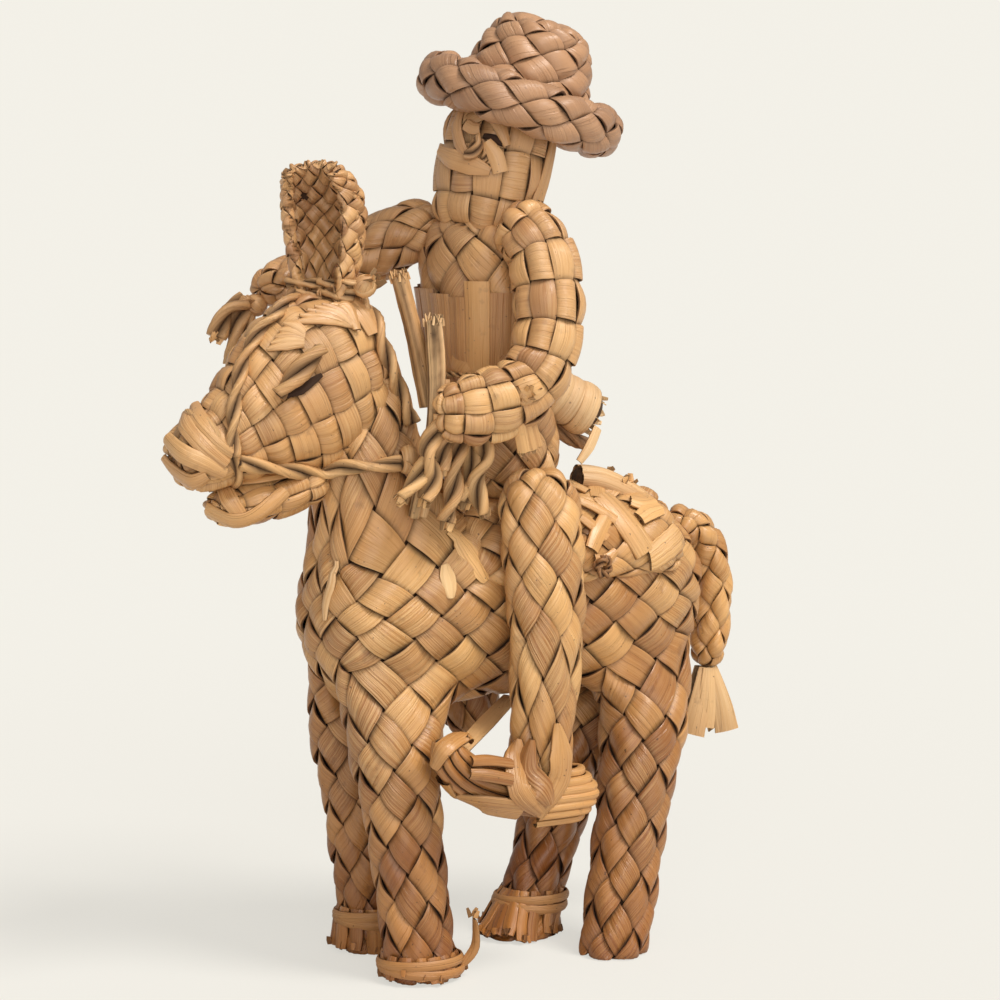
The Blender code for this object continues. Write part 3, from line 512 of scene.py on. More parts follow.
def diagonal_plait(leaves, cage, skin, seed, covered=None, crest=1.0):
    """Strips that run aslant to the cage: each edge of the cage is one crossing."""
    groups = Groups()
    cells = []
    for edge in cage.edges:
        loop = edge.link_loops[0]
        start, end = loop.vert, loop.link_loop_next.vert
        left, right = loop.face, loop.link_loop_radial_next.face
        groups.join((start.index, left.index), (end.index, right.index))
        groups.join((start.index, right.index), (end.index, left.index))
        cells.append((start, end, left, right))
    for start, end, left, right in cells:
        if covered and covered(skin.near((start.co + end.co) / 2)[0]):
            continue
        places = (start.co, right.calc_center_median(), end.co, left.calc_center_median())
        corners = [skin.near(place)[0] for place in places]
        weave_cell(leaves, skin, corners, groups.number((start.index, left.index)), seed, crest)


def straight_plait(leaves, cage, skin, seed, covered=None, crest=1.0):
    """Strips that run along and round the member: each face of the cage is one crossing."""
    groups = Groups()
    over = {}
    for face in cage.faces:
        if len(face.loops) != 4:
            continue
        edges = [loop.edge.index for loop in face.loops]
        groups.join(edges[0], edges[2])
        groups.join(edges[1], edges[3])
        if face.index in over:
            continue
        over[face.index] = 0
        front = [face]
        while front:
            here = front.pop(0)
            for place, loop in enumerate(here.loops):
                there = loop.link_loop_radial_next
                if there.face.index in over or len(there.face.loops) != 4:
                    continue
                passes = place % 2 == over[here.index]
                position = list(there.face.loops).index(there) % 2
                over[there.face.index] = 1 - position if passes else position
                front.append(there.face)
    for face in cage.faces:
        if len(face.loops) != 4 or covered and covered(face.calc_center_median()):
            continue
        corners = [skin.near(vertex.co)[0] for vertex in face.verts]
        through = over[face.index]
        number = groups.number(face.loops[through].edge.index)
        order = corners[through + 1 :] + corners[: through + 1]
        weave_cell(leaves, skin, order, number, seed, crest)


def plaited(
    name, cage, seed, covered=None, crest=1.0, weave=diagonal_plait, extra=None, inset=2.0, look="leaf"
):
    """A whole plaited member: its dark underlayer of painted shade and its strips."""
    bmesh.ops.recalc_face_normals(cage, faces=cage.faces)
    if cage.calc_volume(signed=True) < 0:
        bmesh.ops.reverse_faces(cage, faces=cage.faces)
    for parts in (cage.verts, cage.edges, cage.faces):
        parts.index_update()
    SKINS[name] = Skin(cage)
    leaves = Leaves()
    Skin(cage, 2).core(leaves, inset * MM * crest)
    weave(leaves, cage, SKINS[name], seed, covered, crest)
    if extra:
        extra(leaves)
    leaves.build(name + "_leaves", name, "leaf", look)


def stations_between(stations, pieces):
    """Stations of a member, with others between them on a smooth curve."""
    return smooth_route([numpy.array(station, float) for station in stations], pieces)


def square_cage(anchor, stations, across, side=SIDEWAYS, growth=1.05):
    """A limb as blocks, so that its cage runs straight along it, with square ends."""
    centres, axes = spine(anchor, stations, side)

    def place(i, j, k):
        first, second = axes[i]
        u, v = square_to_round(2 * j / across - 1, 2 * k / across - 1)
        return centres[i] + (first * u * stations[i][3] + second * v * stations[i][4]) * growth * MM

    blocks = {(i, j, k) for i in range(len(stations) - 1) for j in range(across) for k in range(across)}
    return block_cage(blocks, place)


# Strips, bundles and cords


def sight(u, v):
    """The camera's place and its line of sight through a point of the picture."""
    right = Vector((math.cos(CAMERA_TURN), -math.sin(CAMERA_TURN), 0))
    ray = AIM + right * (u - 450) / FOCAL_PIXELS - right.cross(AIM) * (v - 490) / FOCAL_PIXELS
    return CAMERA_TARGET - AIM * CAMERA_AWAY, ray.normalized()


def seen(u, v, carriers, height=1.5):
    """The place on a carrier that the camera sees at a point of the picture, and its outward direction.

    Just beside a carrier, it is the nearest place on it.
    """
    eye, ray = sight(u, v)
    hits = []
    for name in carriers:
        place, _, _, away = SKINS[name].tree.ray_cast(eye, ray)
        if place is not None:
            hits.append((away, name, place))
    for step in range(0 if hits else 60):
        for name in carriers:
            place, _, _, away = SKINS[name].tree.find_nearest(eye + ray * (1.03 + 0.006 * step))
            hits.append((away, name, place))
    _, name, place = min(hits, key=lambda hit: hit[0])
    return SKINS[name].near(place, height * MM)


def seen_band(leaves, points, carriers, widths, seed, height=2.2, pieces=5, **shape):
    """A strip laid on its carriers along points of the picture."""
    spots = [seen(u, v, carriers, height) for u, v in points]
    places = smooth_route([place for place, _ in spots], pieces)
    facings = smooth_route([facing for _, facing in spots], pieces)
    band(leaves, places, [facing.normalized() for facing in facings], widths, seed, **shape)


def seen_cord(leaves, points, carriers, radius, seed, height=3.0, **shape):
    """A cord laid on its carriers along points of the picture."""
    places = [seen(u, v, carriers, height)[0] for u, v in points]
    cord(leaves, places, radius, seed, **shape)


def in_plane(u, v, side):
    """The place that the camera sees at a point of the picture, at a distance in millimetres to one side."""
    eye, ray = sight(u, v)
    return eye + ray * ((mm(0, side, 0).y - eye.y) / ray.y)


def lengths(route):
    """How far along a route each of its points lies, in millimetres."""
    runs = [0.0]
    for here, there in zip(route, route[1:]):
        runs.append(runs[-1] + (there - here).length / MM)
    return runs


def facing_out(route, centre):
    """The directions from a centre to each point of a route."""
    return [(place - centre).normalized() for place in route]


def between(values, t):
    """The value at t, from 0 to 1, along a row of evenly spaced values."""
    reach = t * (len(values) - 1)
    low = min(int(reach), len(values) - 2)
    return values[low] + (values[low + 1] - values[low]) * (reach - low)


def edged(outer, inner, middle=1.0):
    """Painted light levels across a strip, lower for painted shade: its two edges on each side and its
    middle.
    """
    return [outer, inner] + [middle] * (len(ACROSS) - 4) + [inner, outer]


def band(leaves, route, facings, widths, seed, tone=0.5, dome=0.6, thick=0.7, twist=0.0, depth=1.0):
    """One flat strip of leaf along a route. Widths are in millimetres, from start to end."""
    if isinstance(facings, Vector):
        facings = [facings] * len(route)
    rows = []
    for index, (place, facing) in enumerate(zip(route, facings)):
        along = (route[min(index + 1, len(route) - 1)] - route[max(index - 1, 0)]).normalized()
        t = index / (len(route) - 1)
        across = along.cross(facing).normalized()
        facing = across.cross(along)
        across, facing = turned(across, facing, twist * t), turned(facing, across, -twist * t)
        half = between(widths, t) / 2
        row = [place + (across * v * half + facing * dome * (1 - v * v)) * MM for v in ACROSS]
        row.append(row[-1] - facing * thick * MM)
        for v in (0.5, 0, -0.5):
            row.append(place + (across * v * half - facing * (thick - dome * (1 - v * v))) * MM)
        row.append(row[0] - facing * thick * MM)
        rows.append(row)
    us = [run + seed * 13.7 for run in lengths(route)]
    reach = sum(widths) / len(widths) / 2
    vs = [seed * STRIP_STEP + v * reach for v in ACROSS + (1.1, 0.5, 0, -0.5, -1.1)]
    # Painted shade: the strip's edges a little darker and its back much darker, all scaled by its painted
    # light level.
    shades = [0.85 * depth] + [depth] * (len(ACROSS) - 2) + [0.85 * depth] + [0.4 * depth] * 5
    leaves.add_rows(rows, us, vs, tone, [shades] * len(rows), closed=True)


def oval(first, second, angle, station):
    """From a station's centre to a place on its outline, in millimetres."""
    return first * math.cos(angle) * station[3] + second * math.sin(angle) * station[4]


def ribs(leaves, anchor, stations, count, seed, overlap=1.25, dome=1.3, tone=0.5):
    """Strips that lie side by side along a member."""
    track = stations_between(stations, 5)
    centres, axes = spine(anchor, track)
    us = [run + seed * 7.3 for run in lengths(centres)]
    reach = math.pi * (stations[0][3] + stations[-1][3]) / 2 / count
    for rib in range(count):
        dice = random.Random(rib * 31 + seed)
        shade = tone + dice.gauss(0, 0.12)
        lift = dice.uniform(-0.3, 0.4)
        rows = []
        for centre, axis_pair, station in zip(centres, axes, track):
            row = []
            for v in ACROSS:
                angle = math.tau * (rib + dice.uniform(-0.01, 0.01)) / count + v * math.pi / count * overlap
                radial = oval(*axis_pair, angle, station)
                out = dome * (1 - v * v) + lift - (0.8 if abs(v) == 1 else 0)
                row.append(centre + (radial + radial.normalized() * out) * MM)
            rows.append(row)
        vs = [(rib + seed) * STRIP_STEP + v * reach for v in ACROSS]
        leaves.add_rows(rows, us, vs, shade, [edged(0.15, 0.45)] * len(rows))


def shade_plug(leaves, anchor, stations, around=16):
    """A dark filling inside a bundle: painted shade that shows between its strips."""
    track = stations_between(stations, 4)
    centres, axes = spine(anchor, track)
    rows = [[centres[0]] * around]
    for centre, axis_pair, station in zip(centres, axes, track):
        angles = [math.tau * step / around for step in range(around)]
        rows.append([centre + oval(*axis_pair, angle, station) * 0.9 * MM for angle in angles])
    rows.append([centres[-1]] * around)
    leaves.add_rows(rows, range(len(rows)), range(around), 0.4, [[0.15] * around] * len(rows), closed=True)


def cord(leaves, route, radius, seed, plies=2, pitch=9.0, tone=0.55, pieces=6):
    """Leaf strip twisted into a cord. Radius and pitch are in millimetres."""
    fine = smooth_route(route, pieces)
    runs = lengths(fine)
    turns = [math.tau * n / CORD_SIDES for n in range(CORD_SIDES)]
    # Painted shade on each ply's inner side, where the plies meet.
    shades = [0.55 + 0.45 * math.cos(turn) for turn in turns]
    for ply in range(plies):
        rows = []
        for place, run, (first, second) in zip(fine, runs, frames(fine)):
            angle = math.tau * (run / pitch + ply / plies)
            middle = place + turned(first, second, angle) * radius * 0.48 * MM
            rows.append([middle + turned(first, second, turn + angle) * radius * 0.56 * MM for turn in turns])
        caps = [[sum(rows[end], Vector()) / CORD_SIDES] * CORD_SIDES for end in (0, -1)]
        rows = caps[:1] + rows + caps[1:]
        us = [run + ply * 30 for run in [-1] + runs + [runs[-1] + 1]]
        vs = [seed * 17 + n * 1.3 for n in range(CORD_SIDES)]
        leaves.add_rows(rows, us, vs, tone + 0.06 * ply, [shades] * len(rows), closed=True)


def ring_route(centre, axis, carrier, reach, steps=20, height=1.6):
    """Points round a carrier in a plane, just outside its strips. Reach and height are in millimetres."""
    front = axis.orthogonal().normalized()
    right = axis.cross(front).normalized()
    away = reach * MM
    route = []
    for step in range(steps):
        outward = turned(front, right, math.tau * step / steps)
        hit = SKINS[carrier].tree.ray_cast(centre + outward * away, -outward, away)[0]
        far = 0.0 if hit is None else max(0.0, (hit - centre).dot(outward) + height * MM)
        route.append(centre + outward * far)
    return route + route[:2]


def laid_route(points, carrier, height, pieces=5):
    """A route moved onto its carrier, with the outward direction at each point."""
    spots = [SKINS[carrier].near(place) for place in smooth_route(points, pieces)]
    return [foot + normal * height * MM for foot, normal in spots], [normal for _, normal in spots]


def fray(leaves, place, direction, spread, count, length, width, seed, tone=0.75):
    """Torn ends of leaf that fan out from a place."""
    dice = random.Random(seed)
    side = direction.orthogonal().normalized()
    other = direction.cross(side)

    def sideways():
        return side * dice.uniform(-1, 1) + other * dice.uniform(-1, 1)

    for _ in range(count):
        aim = direction + (side * dice.gauss(0, 0.6) + other * dice.gauss(0, 0.6)) * spread
        aim.normalize()
        reach = length * dice.uniform(0.6, 1.1) * MM
        root = place + sideways() * width * 0.8 * MM
        bend = sideways() * 0.12
        route = [root + (aim * t + bend * t * t) * reach for t in (0, 0.25, 0.5, 0.75, 1)]
        facing = aim.cross(sideways()).normalized()
        shape = (width, width, width * 0.6)
        band(leaves, route, facing, shape, dice.randrange(900), tone + dice.gauss(0, 0.08), 0.15, 0.25)


# Finish


def add_node(tree, kind, inputs, **values):
    """A shader node, with each of its inputs set or linked."""
    made = tree.nodes.new("ShaderNode" + kind)
    for key, value in values.items():
        setattr(made, key, value)
    for key, value in inputs.items():
        if isinstance(value, bpy.types.NodeSocket):
            tree.links.new(value, made.inputs[key])
        else:
            made.inputs[key].default_value = value
    return made


def leaf_look(name, dark, light, pale, rough):
    """Dried leaf: fine lengthwise veins, folds, blotches and small spots, with painted shade in the hollows
    between strips and darker towards the floor.
    """
    look = bpy.data.materials.new(name)
    look.use_nodes = True
    tree = look.node_tree
    shader = tree.nodes["Principled BSDF"]

    def compute(operation, *values, clamp=False):
        inputs = dict(enumerate(values))
        return add_node(tree, "Math", inputs, operation=operation, use_clamp=clamp).outputs[0]

    def noise(vector, scale, detail, roughness=0.55, stretch=(1, 1, 1)):
        place = add_node(tree, "Mapping", {"Vector": vector, "Scale": stretch}).outputs[0]
        inputs = {"Vector": place, "Scale": scale, "Detail": detail, "Roughness": roughness}
        return add_node(tree, "TexNoise", inputs).outputs[0]

    def spread(value, low, high, out_low=0.0, out_high=1.0):
        inputs = {"Value": value, "From Min": low, "From Max": high, "To Min": out_low, "To Max": out_high}
        return add_node(tree, "MapRange", inputs, clamp=True).outputs[0]

    def blend(factor, *colours, kind="MIX"):
        inputs = {0: factor}
        for socket, colour in zip((6, 7), colours):
            inputs[socket] = (*colour, 1) if isinstance(colour, tuple) else colour
        return add_node(tree, "Mix", inputs, data_type="RGBA", blend_type=kind).outputs[2]

    uv = add_node(tree, "UVMap", {}, uv_map="leaf").outputs[0]
    place = add_node(tree, "TexCoord", {}).outputs["Object"]
    tone_and_shade = add_node(tree, "Attribute", {}, attribute_name="tone").outputs["Color"]
    tone, depth, _ = add_node(tree, "SeparateColor", {0: tone_and_shade}).outputs
    height = add_node(tree, "SeparateXYZ", {0: place}).outputs[2]

    veins = noise(uv, 1.0, 4.0, 0.65, (2.2, 230, 1))
    broad = noise(uv, 1.0, 2.0, 0.5, (1.2, 38, 1))
    folds = noise(uv, 1.0, 1.0, 0.4, (0.8, 22, 1))
    blotch = noise(place, 42.0, 4.0, 0.6)
    stain = noise(place, 130.0, 3.0, 0.6)
    specks = noise(place, 620.0, 1.0, 0.5)
    ribbed = spread(noise(place, 27.0, 1.0), 0.38, 0.62, 0.22, 1.1)
    warmth = noise(place, 19.0, 2.0)

    shade = compute("MULTIPLY_ADD", broad, 0.7, compute("MULTIPLY_ADD", tone, 1.35, -0.5))
    shade = compute("MULTIPLY_ADD", blotch, 0.6, compute("SUBTRACT", shade, 0.28), clamp=True)
    warm = tuple(c * k for c, k in zip(light, (0.93, 0.80, 0.62)))
    colour = blend(shade, dark, light)
    colour = blend(spread(warmth, 0.5, 0.72, 0.0, 0.45), colour, warm)
    colour = blend(compute("MULTIPLY", spread(veins, 0.42, 0.72, 0.0, 0.6), ribbed), colour, pale)
    streak = compute("MULTIPLY", spread(veins, 0.44, 0.26, 0.0, 0.5), ribbed)
    colour = blend(streak, colour, tuple(c * 0.5 for c in dark))
    colour = blend(spread(stain, 0.62, 0.78, 0.0, 0.45), colour, tuple(c * 0.45 for c in dark))
    colour = blend(spread(specks, 0.74, 0.79, 0.0, 0.7), colour, (0.05, 0.022, 0.008))
    colour = blend(spread(height, 0.15, 0.33, 0.0, 0.35), colour, (0.60, 0.35, 0.20))
    # Painted shade: the colour darkens towards the floor, below 0.125 m.
    low = blend(1.0, colour, (0.56, 0.385, 0.23), kind="MULTIPLY")
    colour = blend(spread(height, 0.0, 0.125), low, colour)
    # Painted shade: the colour goes to a near-black brown where the painted light level is low, in the
    # hollows between strips.
    shaded = blend(spread(depth, 0.1, 0.9), (0.035, 0.013, 0.004), colour)
    tree.links.new(shaded, shader.inputs["Base Color"])

    veined = spread(veins, 0.3, 0.7, rough - 0.1, rough + 0.14)
    rougher = compute("ADD", veined, spread(depth, 0.2, 0.9, 0.6, 0.0), clamp=True)
    tree.links.new(rougher, shader.inputs["Roughness"])
    shader.inputs["Specular IOR Level"].default_value = 0.55
    ridge = compute("ADD", spread(folds, 0.48, 0.5), spread(folds, 0.58, 0.595, 0.0, 0.8))
    grooves = compute("MULTIPLY_ADD", broad, 0.6, compute("MULTIPLY", veins, 0.75))
    relief = compute("MULTIPLY_ADD", ridge, 0.5, compute("MULTIPLY", grooves, ribbed))
    bump = add_node(tree, "Bump", {"Strength": 0.75, "Distance": 0.55 * MM, "Height": relief})
    tree.links.new(bump.outputs[0], shader.inputs["Normal"])
    return look


LOOKS = {}
for key, name, dark, light, pale, rough in (
    ("leaf", "leaf_strips", (0.31, 0.12, 0.03), (0.72, 0.40, 0.145), (0.88, 0.61, 0.30), 0.34),
    ("pale_leaf", "pale_leaf_strips", (0.40, 0.19, 0.07), (0.78, 0.50, 0.23), (0.88, 0.68, 0.42), 0.5),
    ("hat", "hat_strips", (0.16, 0.06, 0.025), (0.43, 0.22, 0.105), (0.70, 0.44, 0.25), 0.38),
    ("dark_leaf", "dark_leaf_strips", (0.16, 0.06, 0.02), (0.42, 0.20, 0.07), (0.5, 0.28, 0.11), 0.46),
    ("twisted_cord", "twisted_leaf", (0.36, 0.15, 0.04), (0.74, 0.43, 0.165), (0.85, 0.60, 0.32), 0.45),
):
    LOOKS[key] = leaf_look(name, dark, light, pale, rough)


# Horse


def horse_body():
    blocks = {(i, j, k) for i in range(BODY_CELLS) for j in range(3) for k in range(3)}
    for _, first, side, _, _, _, _ in LEGS:
        blocks |= {(first + n, side, -1 - k) for n in range(2) for k in range(LEG_RINGS)}
    blocks |= {(i, j, 3 + k) for i in range(2) for j in range(3) for k in range(NECK_RINGS)}

    def covered(place):
        return place.z > POLL.z - 8 * MM or place.z < -4 * MM

    plaited("horse_body", block_cage(blocks, horse_body_place), 1, covered=covered, extra=hoof_ends)


def hoof_ends(leaves):
    """The cut ends of the strips that fan out below each tie."""
    count = 15
    for name, _, side, hoof, root, _, height in LEGS:
        if not height:
            continue
        low = Vector((*hoof, 3 * MM))
        top = Vector((*leg_middle(side, hoof, root, 0.92), height + 5 * MM))
        upper = ring_route(top, UP, "horse_body", 19, count, 1.2)
        lower = ring_route(low, UP, "horse_body", 19, count, 2.4)
        spread = mm(-3.5, -1, 0) if name == "far_hind" else Vector()
        for n in range(count):
            dice = random.Random(n + len(name) * 50)
            near, far = upper[n], lower[n].copy()
            out = (far - low).normalized()
            out.z = 0
            far += out * dice.uniform(-0.3, 1.6) * MM + spread * dice.uniform(0.6, 1.2)
            far.z = dice.uniform(0.5, 4.0) * MM
            route = smooth_route([near, near.lerp(far, 0.35) + out * 0.5 * MM, near.lerp(far, 0.7), far], 3)
            shade = 0.6 + dice.gauss(0, 0.2)
            size = dice.uniform(0.85, 1.1)
            shape = (5.5 * size, 6 * size, 6.5 * size, 5 * size)
            twist = dice.uniform(-0.35, 0.35)
            band(leaves, route, (out + UP * 0.3).normalized(), shape, n + 30, shade, 1.1, 1.0, twist)
            fray(leaves, far + UP * 3 * MM, (out * 0.25 - UP).normalized(), 0.2, 3, 3.2, 2.2, n, 0.85)


def horse_head():
    stations = (
        (8, 0, -8, 14, 22), (-6, 0, -12, 20, 31), (-24, 0, -20, 21, 34),
        (-42, 0, -30, 18, 25), (-59, 0, -39, 14, 15), (-76, 0, -46, 12, 12),
    )
    track = stations_between(stations, 2)
    cage = square_cage(POLL, track[:-2] + track[-1:], 3, growth=1.04)
    plaited("horse_head", cage, 2, weave=straight_plait, crest=0.85, extra=head_folds)


def head_folds(leaves):
    """The eye slit with the twisted fold over it, the pleated brow and the strips round the nose."""
    head = ["horse_head"]
    # The slit is a fully dark band: painted shade in the recess.
    slit = ((279, 397), (299, 389), (320, 375))
    seen_band(leaves, slit, head, (1.5, 4.6, 1.5), 31, 2.3, tone=0.0, depth=0.0, dome=0.2)
    lid = ((277, 396), (290, 381), (303, 367), (318, 351))
    seen_cord(leaves, lid, head, 4.4, 32, 4.2, pitch=40, tone=0.5)
    pleat = (1.2, 5.5, 3.5)
    for n in range(7):
        points = (292 + 7 * n, 326 - 7 * n + 0.8 * n * n), (326 + 3 * n, 322 - 1.5 * n), (352, 328 + n)
        seen_band(leaves, points, head, pleat, 40 + n, 2.6 + 0.25 * n, tone=0.5 + 0.1 * (n % 2), dome=0.9)
    for n in range(5):
        points = (268 + 4 * n, 352 - 6 * n), (286 + 2 * n, 346 - 4 * n), (303, 345 - 2 * n)
        seen_band(leaves, points, head, pleat, 50 + n, 2.5 + 0.2 * n, tone=0.5 + 0.1 * (n % 2), dome=0.8)
    seen_band(leaves, ((346, 303), (362, 318), (372, 336)), head, (11, 13, 10), 60, 3.0, tone=0.55, dome=1.6)
    for n, points in enumerate((
        ((182, 410), (190, 430), (204, 448), (224, 462)),
        ((190, 402), (201, 424), (216, 441), (232, 452)),
        ((173, 440), (185, 452), (203, 462), (222, 470)),
        ((170, 455), (180, 468), (195, 478), (206, 472)),
    )):
        seen_band(leaves, points, head, (5, 7.5, 7, 5), 70 + n, 2.8, tone=0.42 + 0.09 * (n % 3), dome=1.2)


def lower_jaw():
    track = stations_between(((-17, 0, -53, 12, 8), (-40, 0, -60, 13, 8.5), (-63, 0, -64, 8, 5)), 2)

    def lips(leaves):
        for seed, points, widths, height, tone, dome in (
            (81, ((212, 508), (232, 517), (256, 511), (284, 492)), (6, 7.5, 7, 5), 2.4, 0.5, 1.2),
            (82, ((214, 495), (236, 488), (262, 484), (288, 478)), (5, 5, 4.5, 4), 2.6, 0.62, 1.0),
            (83, ((226, 492), (230, 503), (240, 513)), (6, 7, 5), 2.8, 0.4, 1.0),
        ):
            seen_band(leaves, points, ["lower_jaw"], widths, seed, height, tone=tone, dome=dome)

    cage = square_cage(POLL, track, 2, growth=1.12)
    plaited("lower_jaw", cage, 3, weave=straight_plait, crest=0.7, extra=lips)


def near_ear():
    """A curled plaited sheet that opens towards the front, with its top bent over a little."""
    opening = Vector((-0.76, -0.65, 0))
    across = opening.cross(UP)
    # height, radius, how far round in degrees, lean
    profile = stations_between(
        ((9, 8, 215, 0), (27, 13, 222, 1), (44, 16.5, 224, 1), (58, 16, 218, -2), (67, 12, 205, -8)), 2
    )

    def ear(rise, turn):
        height, radius, span, lean = between(profile, rise)
        curl = max(0, abs(turn) - 0.6) / 0.4
        hood = max(0, rise - 0.7) / 0.3
        angle = math.radians(span * (1 + 0.22 * curl)) * turn / 2
        outward = across * math.sin(angle) - opening * math.cos(angle)
        radius *= 1 - 0.26 * curl ** 2
        spot = outward * radius * (1 - 0.12 * hood) - opening * (lean - 5 * hood ** 2)
        return POLL + mm(-17, -3, height + hood * (3 - 7 * turn ** 2)) + spot * MM

    rows = [[ear(n / 7, 2 * step / 7 - 1) for step in range(8)] for n in range(8)]
    plaited("near_ear", sheet_cage(rows, 1.5 * MM), 4, crest=0.8, inset=0.3)


def ear_tie():
    leaves = Leaves()
    for rise, seed, radius in ((17.5, 1, 2.7), (22, 2, 2.2)):
        route = ring_route(POLL + mm(-17, -3, rise), UP, "near_ear", 26, 18, 2.6)
        cord(leaves, route, radius, seed, pitch=26, pieces=3)
    knot = POLL + mm(-4, -15, 21)
    wind(leaves, knot, 4.2, 5)
    fray(leaves, knot, Vector((0.3, -0.6, 0.7)).normalized(), 0.6, 6, 9, 3, 4, 0.9)
    leaves.build("ear_cord", "ear_tie", "twisted_cord")


def wind(leaves, middle, radius, seed):
    """A knot of leaf wound over itself. Radius is in millimetres."""
    facing = Vector((-0.3, -0.95, 0))
    dice = random.Random(seed)
    side = facing.cross(UP).normalized()
    for turn in range(3):
        first = turned(side, UP, dice.uniform(0, math.pi))
        second = turned(facing, side.cross(facing), turn)
        second = (second - first * second.dot(first)).normalized()
        reach = radius * (0.8 + 0.06 * turn)
        route = [middle + turned(first, second, math.tau * n / 16) * reach * MM for n in range(17)]
        facings = facing_out(route, middle)
        shape = (radius * 0.9, radius * 1.1, radius * 0.9)
        band(leaves, route, facings, shape, seed + turn, 0.5 + dice.gauss(0, 0.15), 0.9, 1.2)


def tail():
    stations = (
        (-3, 0, 23, 7, 6.5), (9, 0, 24.5, 8, 7), (19, 0, 15, 8.5, 7),
        (22.5, 0, -2, 8, 6.5), (21.5, 0, -21, 7.5, 6.5), (19, 0, -37.5, 6, 6),
    )
    plaited("tail_braid", limb_cage(RUMP, stations, 4), 5)
    leaves = Leaves()
    cord(leaves, ring_route(RUMP + mm(19, 0, -38), UP, "tail_braid", 14, 14), 1.5, 3, pitch=7, pieces=3)
    leaves.build("tail_cord", "tail_tie", "pale_leaf")
    leaves = Leaves()
    for n, (lean, away, width, end) in enumerate((
        (-7, -3, 9, -66), (-3.5, -4.5, 8, -63), (6, -3.5, 9, -66),
        (3, -2, 7, -62), (-5, 3.5, 9, -64), (5, 3.5, 9, -66),
    )):
        root = RUMP + mm(19 + lean * 0.25, away * 0.8, -38)
        tip = RUMP + mm(20 + lean * 1.35, away, end)
        side = -1 if away < 0 else 1
        out = Vector((0.12 * lean / 5, side, 0.05)).normalized()
        bulge = [root.lerp(tip, 0.3) + out * 0.8 * MM, root.lerp(tip, 0.65) + out * MM]
        route = smooth_route([root, *bulge, tip], 3)
        shape = (width * 0.6, width * 0.8, width, width * 1.15)
        band(leaves, route, out, shape, n + 5, 0.65 + 0.08 * (n % 2), 0.7, twist=0.5 * side)
    leaves.build("tail_ends", "tail_fringe", "pale_leaf")


# Saddle


def saddle():
    def place(i, j, k):
        along = i / MAT_CELLS
        angle = MAT_REACH * (j / 3 - 1)
        hump = MAT_HUMP * math.sin(math.pi * min(1, along * 1.15)) ** 2 * math.cos(angle)
        rise = MAT_THICKNESS + hump if k else -4 * MM
        y = (BODY_HALF_WIDTH + rise) * math.sin(angle)
        z = (BODY_HALF_HEIGHT + rise) * math.cos(angle)
        return Vector((MAT_FRONT + MAT_LENGTH * along, y, BODY_MIDDLE + z))

    blocks = {(i, j, 0) for i in range(MAT_CELLS) for j in range(6)}
    plaited("saddle_mat", block_cage(blocks, place), 6, crest=0.9, extra=crossed_strips)
    roll = ((38, -3, 8, 5, 5), (48, -4, 6, 6, 5.5), (60, -6, 0, 6, 5.5), (69, -8, -6, 4.5, 4.5))
    leaves = Leaves()
    anchor = BACK + mm(20, 0, 0)
    shade_plug(leaves, anchor, roll, 12)
    ribs(leaves, anchor, roll, 6, 5)
    leaves.build("saddle_roll_leaves", "saddle_roll", "pale_leaf")
    for name, points, width, tone in (
        ("saddle_strap", [mm(62, -22, 194), mm(67, -32, 180), mm(73, -40, 166)], 11, 0.6),
        ("saddle_fold", [mm(74, -40, 162), mm(84, -36, 167), mm(94, -30, 171)], 10, 0.65),
    ):
        leaves = Leaves()
        widths = (width, width * 1.1, width)
        band(leaves, *laid_route(points, "saddle_mat", 2.2), widths, len(name), tone, 1.2, 1.2)
        leaves.build(name + "_leaf", name, "leaf")
    leaves = Leaves()
    middle, facing = SKINS["saddle_mat"].near(mm(50, -40, 160), 4.5 * MM)
    side = facing.cross(UP).normalized()
    angles = [math.tau * step / 9 for step in range(13)]
    route = [middle + turned(side, UP, a) * 3.2 * MM + facing * math.sin(a * 1.5) * 1.2 * MM for a in angles]
    cord(leaves, route, 1.8, 4, pitch=8, pieces=3)
    leaves.build("saddle_knot_cord", "saddle_knot", "dark_leaf")


def crossed_strips(leaves):
    """Strips laid loosely over one another on the mat."""
    on = ["saddle_mat", "horse_body"]
    for n, (points, widths, tone, height) in enumerate((
        (((561, 487), (573, 490), (586, 496)), (4.5, 5, 4.5), 0.6, 2.6),
        (((575, 505), (592, 512), (612, 524)), (4.5, 5, 4.5), 0.68, 3.4),
        (((578, 520), (590, 528), (604, 540)), (4, 5, 4), 0.5, 2.6),
        (((592, 471), (594, 486), (596, 503)), (7, 8, 7), 0.62, 2.4),
        (((603, 520), (595, 535), (588, 551)), (6, 7, 6), 0.66, 3.0),
        (((588, 468), (605, 475), (624, 491)), (4.5, 6, 5), 0.75, 4.2),
        (((590, 560), (602, 560), (611, 552)), (4, 5, 3), 0.5, 3.4),
        (((636, 522), (646, 516), (657, 513)), (6, 7.5, 6), 0.85, 3.2),
        (((628, 505), (640, 508), (652, 506)), (6, 7, 6), 0.78, 2.8),
    )):
        seen_band(leaves, points, on, widths, 110 + n, height, tone=tone, dome=0.9, thick=0.9)
    for u, v, seed in ((610, 470, 1), (626, 492, 2)):
        place, facing = seen(u, v, on, 3.0)
        fray(leaves, place, (facing + Vector((0.6, 0, 0.2))).normalized(), 0.5, 4, 5, 3.4, seed, 0.95)


# Rider


def rider_torso():
    stations = (
        (4, 0, -2, 22, 19), (2, 0, 18, 25, 20), (-1, 0, 42, 25, 19),
        (-4, 0, 68, 26, 19), (-6, 0, 96, 26, 18), (-7, 0, 114, 17, 14),
    )
    plaited("rider_torso", limb_cage(SEAT, stations, 8, side=RIDER_SIDE), 7)


